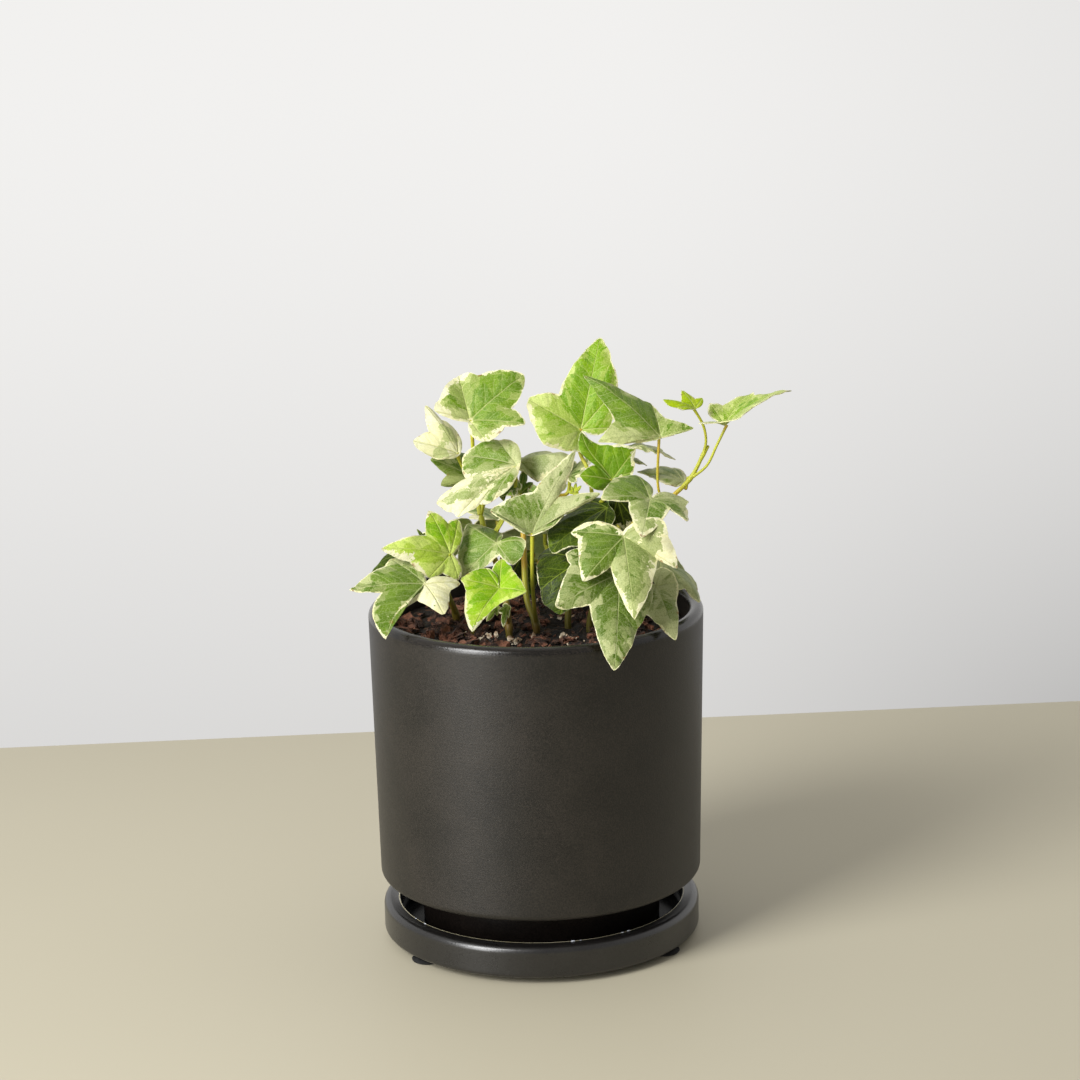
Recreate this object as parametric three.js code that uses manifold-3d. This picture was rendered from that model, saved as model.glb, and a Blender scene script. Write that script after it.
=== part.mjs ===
import * as THREE from 'three';
import { mergeVertices } from 'three/addons/utils/BufferGeometryUtils.js';
import Module from 'manifold-3d';

// A potted variegated ivy, in millimetres, with Z up. The pot's axis is the Z axis, and zero is the flat
// underside of the saucer, which stands on three thin pads.

const wasm = await Module();
wasm.setup();

const SEAT_GAP = 0.3;
const ROUND_SIDES = 40;

// Pads and saucer
const PAD_RADIUS = 6;
const PAD_HEIGHT = 2.2;
const PAD_CIRCLE_RADIUS = 53.5;
const PAD_HEADINGS = { front_left: -143, front_right: -32, back: 92 };
const SAUCER_RADIUS = 60;
const SAUCER_HEIGHT = 12;
const SAUCER_FLOOR = 3.5;
const SAUCER_WALL = 5;
const SAUCER_EDGE = 1.5;
const SAUCER_FILLET = 3;

// Pot
const POT_TOP_RADIUS = 62.5;
const POT_BASE_RADIUS = 60.7;
const POT_WALL = 5.5;
const POT_RIM_Z = 125.5;
const POT_BASE_Z = 22;
const POT_FLOOR = 6;
const FOOT_OUTER_RADIUS = 45;
const FOOT_WALL = 6;
const FOOT_RECESS_Z = 20;
const DRAIN_RADIUS = 5;

// Soil, and the plain holes that the stems stand in
const SOIL_EDGE_Z = 115.5;
const SOIL_CROWN_Z = 117.5;
const HOLE_RADIUS = 2.2;
const HOLE_DEPTH = 18;

// Stems and leaves
const VINE_RADIUS = 1.4;
const VINE_SIDES = 5;
const STALK_RADIUS = 0.8;
const STALK_SIDES = 4;
const BLADE_THICKNESS = 0.8;
const EDGE_STEPS = 2;
const EDGE_BULGE = 0.2;
const BASE_BULGE = 0.5;
const BASE_NOTCH = 0.05;
const INNER_RING = 0.5;
const SMALL_LEAF = 12;
const ARCH = 0.07;

// Each leafy stem: where it stands in the soil, the path of its vine, and its leaves. A leaf gives the vine
// point its stalk grows from, the points the stalk passes, the junction of stalk and blade, the tips of its
// lobes (left base, left, middle, right and right base, on the upper face with the middle lobe up) and the
// notches between them. The edge between a tip and a notch bulges by a share of its length, a curl bends a
// lobe sideways, and bases are the bulges of the two stretches next to the stalk.
const STEMS = [
  {
    name: 'leafy_stem_left',
    root: [-30, 3],
    vine: [[-30, 3, 121], [-33, -1, 130], [-37, -3, 138]],
    leaves: [
      {
        node: 1, at: [-31, -12, 148], bulge: 0.13, bases: [0.4, 0.35],
        tips: [[-28, -16, 139], [-39, -20, 141], [-56, -20, 153], [-39, -4, 163], [-28, -2, 159]],
        notches: [[-34, -17, 142], [-46, -19, 147], [-40, -11, 155], [-32, -5, 158]],
      },
      {
        node: 0, at: [-40, -24, 140], bulge: 0.08, curls: [0, 0, -0.33, 0, 0], bases: [0.4, 0.4],
        tips: [[-27, -20, 139], [-33, -34, 131], [-54, -42, 124], [-68, -28, 139], [-53, -14, 147]],
        notches: [[-31, -24, 137], [-43, -29, 135], [-56, -28, 138], [-55, -17, 145]],
      },
      {
        node: 2, at: [-48, -4, 144], bulge: 0.05,
        tips: [[-50, -8, 141], [-54, -14, 141], [-61, -16, 141], [-54, -4, 147], [-51, 0, 147]],
        notches: [[-52, -11, 141], [-57, -15, 141], [-58, -10, 144], [-53, -2, 147]],
      },
      {
        node: 2, at: [-39, 6, 145], bulge: 0.2,
        tips: [[-40, 4, 147], [-42, 5, 149], [-44, 8, 153], [-40, 10, 151], [-38, 9, 148]],
      },
    ],
  },
  {
    name: 'leafy_stem_mid_left',
    root: [-10, -16],
    vine: [[-10, -16, 121], [-12, -8, 136], [-17, 3, 148], [-20, 9, 158]],
    leaves: [
      {
        node: 3, via: [[-22, 14, 176]], at: [-23, 8, 194], bulge: 0.18, bases: [0.15, 0.5],
        tips: [[-36, 6, 198], [-27, 18, 209], [-2, 14, 210], [-2, 4, 193], [-17, 2, 187]],
        notches: [[-34, 10, 202], [-20, 17, 209], [-7, 8, 198], [-10, 4, 192]],
      },
      {
        node: 3, at: [-28, 20, 179], bulge: 0.12, bases: [0.3, 0.3],
        tips: [[-32, 16, 178], [-38, 16, 179], [-45, 20, 184], [-40, 26, 197], [-29, 26, 187]],
        notches: [[-35, 15, 178], [-42, 17, 181], [-39, 22, 187], [-34, 25, 191]],
      },
      {
        node: 3, at: [-21, 26, 167], bulge: 0.15,
        tips: [[-28, 22, 164], [-35, 18, 167], [-39, 24, 176], [-25, 34, 176], [-16, 32, 171]],
        notches: [[-29, 22, 166], [-33, 22, 170], [-31, 29, 176], [-21, 31, 172]],
      },
      {
        node: 2, via: [[-7, 1, 168]], at: [-6, 2, 178], bulge: 0.15, bases: [0.3, 0.6],
        tips: [[-15, -8, 167], [-28, -8, 161], [-36, -4, 165], [-26, 10, 180], [-13, 10, 186]],
        notches: [[-20, -7, 165], [-30, -7, 163], [-25, 2, 173], [-21, 11, 184]],
      },
      {
        node: 1, at: [-14, -8, 151], bulge: 0.12, bases: [0.3, 0.3],
        tips: [[-3, -12, 153], [-8, -14, 144], [-27, -8, 137], [-25, 2, 156], [-12, 2, 152]],
        notches: [[-4, -14, 148], [-13, -11, 147], [-28, -3, 145], [-18, 4, 154]],
      },
      {
        node: 3, at: [-12, 14, 172],
        tips: [[-9, 8, 168], [-11, 4, 164], [-18, 6, 163], [-20, 14, 169], [-16, 20, 173]],
      },
      {
        node: 2, via: [[-11, 1, 158], [-8, 1, 166]], at: [-6, 4, 171],
        tips: [[-5, 0, 169], [-7, -4, 167], [-12, -2, 167], [-11, 4, 170], [-8, 7, 172]],
      },
      {
        node: 0, at: [-10, -19, 130],
        tips: [[-9, -20, 129], [-10, -22, 126], [-12, -24, 123], [-14, -20, 128], [-12, -17, 130]],
      },
      {
        node: 0, at: [-14, -22, 131],
        tips: [[-13, -24, 130], [-14, -26, 128], [-18, -30, 127], [-18, -26, 131], [-16, -22, 132]],
      },
    ],
  },
  {
    name: 'leafy_stem_low_front',
    root: [-23, -16],
    vine: [[-23, -16, 120], [-20, -20, 128]],
    leaves: [
      {
        node: 1, at: [-13, -28, 139], bulge: 0.06, curls: [0, 0, -0.12, 0, 0], bases: [0.5, 0.45],
        tips: [[-12, -16, 147], [-3, -34, 139], [-23, -42, 126], [-27, -30, 143], [-18, -24, 146]],
        notches: [[-7, -25, 143], [-13, -35, 135], [-25, -32, 139], [-22, -26, 145]],
      },
    ],
  },
  {
    name: 'leafy_stem_centre',
    root: [0, -10],
    vine: [[0, -10, 120], [-3, -7, 128], [-4, -1, 145], [-4, 5, 158]],
    leaves: [
      {
        node: 0, via: [[-1, -16, 138]], at: [-1, -20, 157], bulge: 0.1, bases: [0.1, 0.12],
        tips: [[-11, -22, 163], [-16, -18, 166], [16, -6, 185], [25, -20, 172], [8, -22, 161]],
        notches: [[-13, -21, 164], [0, -14, 171], [9, -15, 169], [11, -20, 164]],
      },
      {
        node: 3, at: [-5, 14, 177], bulge: 0.1,
        tips: [[-2, 20, 177], [3, 22, 179], [15, 8, 180], [2, 8, 170], [-3, 8, 174]],
        notches: [[0, 21, 178], [8, 15, 179], [9, 7, 173], [-1, 7, 172]],
      },
      {
        node: 3, at: [-5, 6, 166],
        tips: [[-7, 8, 167], [-7, 11, 170], [-3, 16, 174], [0, 12, 169], [-1, 8, 166]],
      },
      {
        node: 3, at: [13, 12, 171],
        tips: [[12, 16, 173], [15, 18, 176], [23, 12, 179], [21, 6, 174], [16, 8, 170]],
      },
      {
        node: 3, at: [15, 10, 165],
        tips: [[13, 10, 166], [14, 10, 168], [16, 11, 169], [18, 10, 168], [17, 10, 165]],
      },
    ],
  },
  {
    name: 'leafy_stem_tall',
    root: [12, -2],
    vine: [[12, -2, 121], [14, 0, 138], [19, 1, 152], [22, 2, 162]],
    leaves: [
      {
        node: 3, at: [18, 6, 190], bulge: 0.13, bases: [0.4, 0.4],
        tips: [[20, 4, 182], [-2, 8, 202], [26, 18, 223], [32, 9, 205], [29, 4, 191]],
        notches: [[4, 0, 186], [10, 9, 203], [30, 13, 214], [30, 6, 197]],
      },
      {
        node: 3, via: [[26, -4, 166]], at: [29, -4, 173], bulge: 0.15, curls: [0, 0, 0.4, 0, 0],
        tips: [[26, -8, 170], [17, -8, 176], [18, 3, 190], [38, 0, 184], [37, -4, 176]],
        notches: [[22, -10, 171], [23, -3, 179], [29, 1, 185], [37, -2, 180]],
      },
      {
        node: 2, at: [27, -6, 163], bulge: 0.12,
        tips: [[26, -16, 157], [17, -25, 154], [6, -21, 150], [12, -7, 161], [19, 2, 164]],
        notches: [[22, -21, 155], [12, -25, 152], [5, -13, 156], [15, -3, 162]],
      },
      {
        node: 2, at: [31, 2, 165], bulge: 0.1,
        tips: [[36, 3, 164], [37, 1, 157], [34, 0, 153], [29, 1, 155], [28, 3, 164]],
        notches: [[36, 2, 161], [36, 1, 155], [31, 1, 155], [28, 2, 160]],
      },
      {
        node: 1, via: [[6, 6, 139]], at: [-5, 4, 143], bulge: 0.1,
        tips: [[0, 6, 144], [1, 2, 134], [-3, 0, 128], [-9, 2, 135], [-10, 6, 144]],
        notches: [[0, 4, 140], [0, 1, 131], [-6, 1, 132], [-8, 4, 140]],
      },
    ],
  },
  {
    name: 'leafy_stem_right',
    root: [20, -10],
    vine: [[20, -10, 121], [23, -13, 132], [28, -18, 144], [33, -24, 154]],
    leaves: [
      {
        node: 3, at: [32, -42, 161], bulge: 0.1, bases: [0.3, 0.4],
        tips: [[46, -40, 167], [51, -48, 150], [35, -58, 134], [17, -52, 147], [13, -38, 162]],
        notches: [[48, -43, 160], [44, -46, 153], [27, -48, 151], [16, -41, 160]],
      },
      {
        node: 2, at: [30, -42, 147], bulge: 0.1,
        tips: [[42, -46, 141], [39, -52, 134], [27, -67, 117], [7, -56, 139], [11, -40, 155]],
        notches: [[41, -49, 137], [36, -55, 130], [19, -52, 138], [13, -43, 151]],
      },
      {
        node: 3, at: [42, -28, 171], bulge: 0.12, bases: [0.45, 0.4],
        tips: [[56, -20, 169], [55, -36, 164], [38, -48, 161], [24, -34, 173], [38, -15, 177]],
        notches: [[55, -26, 167], [49, -34, 169], [34, -32, 171], [30, -21, 177]],
      },
      {
        node: 1, at: [18, -20, 147], bulge: 0.1,
        tips: [[21, -24, 137], [9, -28, 128], [2, -24, 137], [2, -6, 146], [12, -4, 150]],
        notches: [[16, -26, 133], [3, -26, 132], [1, -14, 142], [6, -3, 148]],
      },
    ],
  },
  {
    name: 'leafy_stem_sprig',
    root: [30, 6],
    vine: [[30, 6, 121], [33, 4, 140], [40, 0, 154], [48, -2, 163], [58, 0, 172], [63, 1, 181], [65, 2, 184]],
    leaves: [
      {
        node: 3, via: [[46, -4, 170]], at: [47, -6, 189], bulge: 0, bases: [0.1, 0.08],
        tips: [[39, -10, 188], [24, -14, 190], [19, -2, 213], [44, 4, 200], [60, -4, 192]],
        notches: [[32, -13, 188], [30, -8, 196], [41, 3, 201], [49, -1, 195]],
      },
      {
        node: 5, via: [[64, 1, 186], [63, 0, 192]], at: [60, -2, 199], bulge: 0.1, bases: [0.1, 0.4],
        tips: [[57, -5, 199], [53, -6, 200], [48, -4, 203], [55, 2, 205], [63, 2, 202]],
        notches: [[55, -6, 199], [50, -6, 201], [55, -2, 201], [60, 1, 202]],
      },
      {
        node: 4, via: [[64, -1, 177], [68, -1, 185]], at: [71, 0, 192], bulge: 0.1, bases: [0.5, 0.1],
        tips: [[66, 10, 198], [82, 14, 201], [96, 2, 205], [76, -12, 197], [60, -10, 195]],
        notches: [[71, 9, 197], [83, 8, 200], [80, -9, 199], [69, -8, 194]],
      },
      {
        node: 2, at: [36, 16, 181], bulge: 0.05, bases: [0.1, 0.1],
        tips: [[38, 24, 180], [45, 28, 178], [53, 6, 178], [45, -4, 183], [40, 6, 182]],
        notches: [[42, 29, 179], [49, 17, 178], [49, 1, 180], [43, 1, 182]],
      },
      {
        node: 2, at: [30, 22, 176], bulge: 0.05, bases: [0.1, 0.1],
        tips: [[32, 28, 177], [37, 32, 173], [43, 16, 174], [37, 8, 177], [32, 14, 176]],
        notches: [[35, 30, 175], [40, 23, 174], [40, 12, 175], [34, 10, 176]],
      },
      {
        node: 4, at: [56, 8, 169], bulge: 0.1, bases: [0.1, 0.2],
        tips: [[53, 4, 168], [46, 4, 171], [39, 18, 171], [49, 26, 171], [55, 21, 171]],
        notches: [[49, 3, 169], [43, 12, 171], [45, 20, 171], [52, 23, 171]],
      },
    ],
  },
  {
    name: 'leafy_stem_low_right',
    root: [36, -12],
    vine: [[36, -12, 120], [39, -14, 129]],
    leaves: [
      {
        node: 1, at: [44, -26, 138], bulge: 0.1,
        tips: [[47, -20, 144], [52, -26, 139], [50, -48, 124], [39, -36, 131], [38, -28, 139]],
        notches: [[50, -23, 142], [51, -33, 134], [42, -40, 129], [36, -33, 135]],
      },
      {
        node: 1, at: [46, -8, 143], bulge: 0.1,
        tips: [[50, -2, 150], [56, 2, 135], [60, -24, 131], [50, -24, 136], [45, -16, 140]],
        notches: [[52, -1, 143], [58, -2, 134], [54, -21, 135], [47, -21, 138]],
      },
    ],
  },
  {
    name: 'leafy_stem_back_left',
    root: [-24, 26],
    vine: [[-24, 26, 120], [-26, 27, 130], [-24, 29, 140]],
    leaves: [
      { node: 1, at: [-36, 32, 140], heading: 138, pitch: -25, size: 28 },
      { node: 2, at: [-24, 42, 145], heading: 118, pitch: -35, size: 30 },
      { node: 2, at: [-14, 32, 150], heading: 78, pitch: 0, size: 27 },
    ],
  },
  {
    name: 'leafy_stem_back',
    root: [4, 36],
    vine: [[4, 36, 120], [5, 37, 132], [8, 36, 146]],
    leaves: [
      { node: 1, at: [4, 50, 140], heading: 90, pitch: -40, size: 34 },
      { node: 2, at: [20, 46, 147], heading: 62, pitch: -15, size: 31 },
      { node: 2, at: [2, 36, 157], heading: 110, pitch: 5, size: 24 },
    ],
  },
  {
    name: 'leafy_stem_back_right',
    root: [28, 26],
    vine: [[28, 26, 120], [32, 28, 132], [32, 30, 146]],
    leaves: [
      { node: 1, at: [36, 36, 144], heading: 100, pitch: -30, size: 27 },
      { node: 1, at: [38, 22, 138], heading: 60, pitch: -40, size: 20 },
      { node: 2, at: [33, 33, 152], heading: 85, pitch: 5, size: 24 },
    ],
  },
];

// A leaf given by size has lobes at these angles from its middle lobe, with these lengths and lifts as parts
// of its size, and notches at a share of the mean length of the lobes beside them.
const PLAIN_LOBES = [
  { angle: 118, length: 0.42, lift: 0.06 },
  { angle: 58, length: 0.74, lift: 0.1 },
  { angle: 0, length: 1, lift: -0.08 },
  { angle: -58, length: 0.74, lift: 0.1 },
  { angle: -118, length: 0.42, lift: 0.06 },
];
const PLAIN_NOTCH = 0.58;

const MATERIALS = {
  ceramic: new THREE.MeshStandardMaterial({ color: 0x3a3836, roughness: 0.45, metalness: 0 }),
  glaze: new THREE.MeshStandardMaterial({ color: 0x2c2b2a, roughness: 0.2, metalness: 0 }),
  rubber: new THREE.MeshStandardMaterial({ color: 0x151515, roughness: 0.8, metalness: 0 }),
  soil: new THREE.MeshStandardMaterial({ color: 0x3b2417, roughness: 0.95, metalness: 0 }),
  leaf: new THREE.MeshStandardMaterial({ color: 0x86a765, roughness: 0.5, metalness: 0 }),
};

const degrees = THREE.MathUtils.degToRad;
const point = (coordinates) => new THREE.Vector3(...coordinates);

// Solids: closed triangle meshes that can be joined and cut

function toSolid(geometry) {
  const bare = geometry.clone();
  bare.deleteAttribute('normal');
  bare.deleteAttribute('uv');
  const merged = mergeVertices(bare, 1e-4);
  return new wasm.Manifold(new wasm.Mesh({
    numProp: 3,
    vertProperties: new Float32Array(merged.attributes.position.array),
    triVerts: new Uint32Array(merged.index.array),
  }));
}

function toGeometry(solid) {
  const mesh = solid.getMesh();
  const geometry = new THREE.BufferGeometry();
  geometry.setAttribute('position', new THREE.BufferAttribute(mesh.vertProperties, 3));
  geometry.setIndex(new THREE.BufferAttribute(mesh.triVerts, 1));
  geometry.computeVertexNormals();
  return geometry;
}

function joined(solids) {
  return solids.reduce((whole, next) => whole.add(next));
}

// Turned pieces: a closed profile of [radius, height] points is spun round the Z axis

function turned(profile, sides) {
  const outline = profile.map(([radius, height]) => new THREE.Vector2(radius, height));
  return new THREE.LatheGeometry(outline, sides).rotateX(Math.PI / 2);
}

function roundedCorner(centreRadius, centreHeight, radius, fromAngle, toAngle, steps) {
  const points = [];
  for (let step = 0; step <= steps; step += 1) {
    const angle = degrees(fromAngle + ((toAngle - fromAngle) * step) / steps);
    points.push([centreRadius + radius * Math.cos(angle), centreHeight + radius * Math.sin(angle)]);
  }
  return points;
}

function saucerGeometry() {
  const lip = SAUCER_WALL / 2;
  const edge = SAUCER_EDGE;
  const fillet = SAUCER_FILLET;
  return turned([
    [0, 0],
    ...roundedCorner(SAUCER_RADIUS - edge, edge, edge, -90, 0, 2),
    ...roundedCorner(SAUCER_RADIUS - lip, SAUCER_HEIGHT - lip, lip, 0, 180, 4),
    ...roundedCorner(SAUCER_RADIUS - SAUCER_WALL - fillet, SAUCER_FLOOR + fillet, fillet, 0, -90, 2),
    [0, SAUCER_FLOOR],
  ], ROUND_SIDES);
}

function potGeometry() {
  const rim = POT_WALL / 2;
  const edge = 2.5;
  const innerBase = POT_BASE_RADIUS - POT_WALL;
  const footZ = SAUCER_FLOOR + SEAT_GAP;
  const footInner = FOOT_OUTER_RADIUS - FOOT_WALL;
  const floorZ = POT_BASE_Z + POT_FLOOR;
  const profile = [
    [DRAIN_RADIUS, FOOT_RECESS_Z],
    [footInner, FOOT_RECESS_Z],
    [footInner, footZ],
    [FOOT_OUTER_RADIUS, footZ],
    [FOOT_OUTER_RADIUS, POT_BASE_Z],
    ...roundedCorner(POT_BASE_RADIUS - edge, POT_BASE_Z + edge, edge, -90, 0, 2),
    ...roundedCorner(POT_TOP_RADIUS - rim, POT_RIM_Z - rim, rim, 0, 180, 4),
    ...roundedCorner(innerBase - edge, floorZ + edge, edge, 0, -90, 1),
    [DRAIN_RADIUS, floorZ],
  ];
  return turned([...profile, profile[0]], ROUND_SIDES);
}

function soilSolid() {
  const floorZ = POT_BASE_Z + POT_FLOOR + SEAT_GAP;
  const baseRadius = POT_BASE_RADIUS - POT_WALL - SEAT_GAP;
  const taper = (POT_TOP_RADIUS - POT_BASE_RADIUS) * ((SOIL_EDGE_Z - POT_BASE_Z) / (POT_RIM_Z - POT_BASE_Z));
  const edge = 3;
  const body = toSolid(turned([
    [0, floorZ],
    [baseRadius - edge, floorZ],
    [baseRadius - 0.3, floorZ + edge],
    [baseRadius + taper - SEAT_GAP, SOIL_EDGE_Z],
    [38, SOIL_EDGE_Z + 0.7 * (SOIL_CROWN_Z - SOIL_EDGE_Z)],
    [0, SOIL_CROWN_Z],
  ], ROUND_SIDES));
  const holes = STEMS.map(({ root: [x, y] }) => {
    const hole = new THREE.CylinderGeometry(HOLE_RADIUS, HOLE_RADIUS, 2 * HOLE_DEPTH, 8).rotateX(Math.PI / 2);
    return toSolid(hole.translate(x, y, SOIL_CROWN_Z));
  });
  return holes.reduce((soil, hole) => soil.subtract(hole), body);
}

// Vines and leaf stalks: a section with few sides drawn along a smooth path

function rod(path, radius, sides, steps) {
  const section = new THREE.Shape();
  for (let side = 0; side < sides; side += 1) {
    const angle = (2 * Math.PI * side) / sides;
    const move = side === 0 ? 'moveTo' : 'lineTo';
    section[move](radius * Math.cos(angle), radius * Math.sin(angle));
  }
  section.closePath();
  return toSolid(new THREE.ExtrudeGeometry(section, { steps, bevelEnabled: false, extrudePath: path }));
}

function vinePath({ root: [x, y], vine }) {
  const foot = [x, y, SOIL_CROWN_Z - HOLE_DEPTH + SEAT_GAP];
  const mouth = [x, y, SOIL_EDGE_Z - 2];
  return new THREE.CatmullRomCurve3([foot, mouth, ...vine].map(point), false, 'centripetal');
}

// The stalk arrives from under and behind its blade, and ends just inside it.
function stalkPath(start, leaf) {
  const junction = point(leaf.at);
  const middle = point(leaf.tips[2]).sub(junction).normalize();
  const end = junction.clone()
    .addScaledVector(middle, VINE_RADIUS / 2)
    .addScaledVector(leaf.face, -0.2 * BLADE_THICKNESS);
  const stops = leaf.via ? leaf.via.map(point) : plainStops(start, junction, middle, leaf.face);
  return new THREE.CatmullRomCurve3([start, ...stops, end], false, 'centripetal');
}

// The points of a stalk that isn't given any: it leaves the vine upwards, and turns in below the blade.
function plainStops(start, junction, middle, face) {
  const reach = start.distanceTo(junction);
  const below = point([0, 0, -0.8])
    .addScaledVector(middle, -0.5)
    .addScaledVector(face, -0.5)
    .setLength(0.3 * reach);
  const leaving = start.clone().lerp(junction, 0.35).add(point([0, 0, 0.1 * reach]));
  return [leaving, junction.clone().add(below)];
}

// Leaf blades

function tipsFromSize({ at, heading, pitch, size }) {
  const turn = new THREE.Euler(0, -degrees(pitch), degrees(heading), 'ZYX');
  const axis = point([1, 0, 0]).applyEuler(turn);
  const left = point([0, 1, 0]).applyEuler(turn);
  const up = point([0, 0, 1]).applyEuler(turn);
  return PLAIN_LOBES.map(({ angle, length, lift }) => point(at)
    .addScaledVector(axis, size * length * Math.cos(degrees(angle)))
    .addScaledVector(left, size * length * Math.sin(degrees(angle)))
    .addScaledVector(up, size * lift)
    .toArray());
}

// The normal of the upper face, on which the lobes follow one another clockwise
function faceNormal(veins) {
  const normal = new THREE.Vector3();
  for (let lobe = 0; lobe < veins.length - 1; lobe += 1) {
    normal.add(veins[lobe + 1].clone().cross(veins[lobe]));
  }
  return normal.normalize();
}

// Notches of a leaf that doesn't give them: halfway between the directions of the lobes beside them
function plainNotches(veins) {
  return veins.slice(1).map((vein, lobe) => {
    const beside = veins[lobe];
    const reach = PLAIN_NOTCH * 0.5 * (vein.length() + beside.length());
    return vein.clone().normalize().add(beside.clone().normalize()).setLength(reach);
  });
}

// The point where the blade's two halves meet behind the stalk
function baseNotch(veins) {
  const [first, , middle, , last] = veins.map((vein) => vein.clone().normalize());
  const between = first.clone().add(last);
  const behind = middle.clone().negate();
  const direction = between.length() > 0.3 && between.dot(behind) > 0 ? between : behind;
  return direction.setLength(BASE_NOTCH * (veins[0].length() + veins[4].length()));
}

// A stretch of the blade's edge, bulged outwards by a share of its length and run clockwise on the upper face
function edgeCurve(from, to, face, bulge) {
  const chord = to.clone().sub(from);
  const outward = face.clone().cross(chord);
  const bend = from.clone().addScaledVector(chord, 0.5).addScaledVector(outward, bulge);
  return new THREE.QuadraticBezierCurve3(from, bend, to);
}

// The blade's edge as offsets from its junction, from the notch at the base round to it again
function bladeEdge(veins, leaf, steps) {
  const notches = leaf.notches
    ? leaf.notches.map((notch) => point(notch).sub(point(leaf.at)))
    : plainNotches(veins);
  const base = baseNotch(veins);
  const [baseLeft, baseRight] = leaf.bases ?? [BASE_BULGE, BASE_BULGE];
  const curls = leaf.curls ?? [0, 0, 0, 0, 0];
  const bulge = leaf.bulge ?? EDGE_BULGE;
  const curves = [edgeCurve(base, veins[0], leaf.face, baseLeft)];
  notches.forEach((notch, lobe) => {
    curves.push(edgeCurve(veins[lobe], notch, leaf.face, bulge - curls[lobe]));
    curves.push(edgeCurve(notch, veins[lobe + 1], leaf.face, bulge + curls[lobe + 1]));
  });
  curves.push(edgeCurve(veins[4], base, leaf.face, baseRight));
  return curves.flatMap((curve) => curve.getPoints(steps).slice(0, -1));
}

function bladeSolid(leaf) {
  const junction = point(leaf.at);
  const veins = leaf.tips.map((tip) => point(tip).sub(junction));
  const edge = bladeEdge(veins, leaf, EDGE_STEPS);
  const count = edge.length;
  const outer = edge.map((offset) => junction.clone().add(offset));
  if (veins[2].length() < SMALL_LEAF) {
    const fan = outer.map((_, spot) => [0, 1 + ((spot + 1) % count), 1 + spot]);
    return thickened([junction, ...outer], fan, outer.map((_, spot) => 1 + spot));
  }
  // An inner ring with a point for every second one of the edge, lifted so that the lobes arch
  const inner = edge.filter((_, spot) => spot % EDGE_STEPS === 0).map((offset) => junction.clone()
    .addScaledVector(offset, INNER_RING)
    .addScaledVector(leaf.face, ARCH * offset.length()));
  const firstEdge = 1 + inner.length;
  const faces = [];
  inner.forEach((_, spot) => {
    const near = 1 + spot;
    const nextNear = 1 + ((spot + 1) % inner.length);
    const far = firstEdge + EDGE_STEPS * spot;
    const nextFar = firstEdge + ((EDGE_STEPS * spot + EDGE_STEPS) % count);
    faces.push([0, nextNear, near], [near, nextNear, far + 1]);
    faces.push([near, far + 1, far], [nextNear, nextFar, far + 1]);
  });
  return thickened([junction, ...inner, ...outer], faces, outer.map((_, spot) => firstEdge + spot));
}

// Gives a one-sided surface its thickness: the same triangles again below it, and a rim between.
function thickened(top, faces, border) {
  const normals = top.map(() => new THREE.Vector3());
  faces.forEach(([a, b, c]) => {
    const normal = top[b].clone().sub(top[a]).cross(top[c].clone().sub(top[a]));
    [a, b, c].forEach((corner) => normals[corner].add(normal));
  });
  const bottom = top.map((spot, index) => {
    return spot.clone().addScaledVector(normals[index].normalize(), -BLADE_THICKNESS);
  });
  const under = top.length;
  const triangles = [...faces, ...faces.map(([a, b, c]) => [a + under, c + under, b + under])];
  border.forEach((from, index) => {
    const to = border[(index + 1) % border.length];
    triangles.push([from, to, to + under], [from, to + under, from + under]);
  });
  return new wasm.Manifold(new wasm.Mesh({
    numProp: 3,
    vertProperties: new Float32Array([...top, ...bottom].flatMap((spot) => spot.toArray())),
    triVerts: new Uint32Array(triangles.flat()),
  }));
}

function leafyStem(stem) {
  const vine = vinePath(stem);
  const solids = [rod(vine, VINE_RADIUS, VINE_SIDES, 2 * stem.vine.length + 1)];
  stem.leaves.forEach((given) => {
    const leaf = given.tips ? { ...given } : { ...given, tips: tipsFromSize(given) };
    leaf.face = faceNormal(leaf.tips.map((tip) => point(tip).sub(point(leaf.at))));
    solids.push(bladeSolid(leaf));
    solids.push(rod(stalkPath(point(stem.vine[leaf.node]), leaf), STALK_RADIUS, STALK_SIDES, 4));
  });
  return joined(solids);
}

// The object

const plant = new THREE.Group();

function addPiece(name, geometry, material) {
  const piece = new THREE.Mesh(geometry, material);
  piece.name = name;
  plant.add(piece);
  return piece;
}

addPiece('saucer', toGeometry(toSolid(saucerGeometry())), MATERIALS.glaze);
addPiece('pot', toGeometry(toSolid(potGeometry())), MATERIALS.ceramic);
addPiece('soil', toGeometry(soilSolid()), MATERIALS.soil);

Object.entries(PAD_HEADINGS).forEach(([place, heading]) => {
  const pad = new THREE.CylinderGeometry(PAD_RADIUS, PAD_RADIUS, PAD_HEIGHT, 20).rotateX(Math.PI / 2);
  pad.translate(
    PAD_CIRCLE_RADIUS * Math.cos(degrees(heading)),
    PAD_CIRCLE_RADIUS * Math.sin(degrees(heading)),
    -SEAT_GAP - PAD_HEIGHT / 2,
  );
  addPiece(`pad_${place}`, toGeometry(toSolid(pad)), MATERIALS.rubber);
});

STEMS.forEach((stem) => addPiece(stem.name, toGeometry(leafyStem(stem)), MATERIALS.leaf));

export default plant;
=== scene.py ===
import math
import random

import bmesh
import bpy
from mathutils import Euler, Matrix, Vector, noise
from mathutils.kdtree import KDTree


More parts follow.
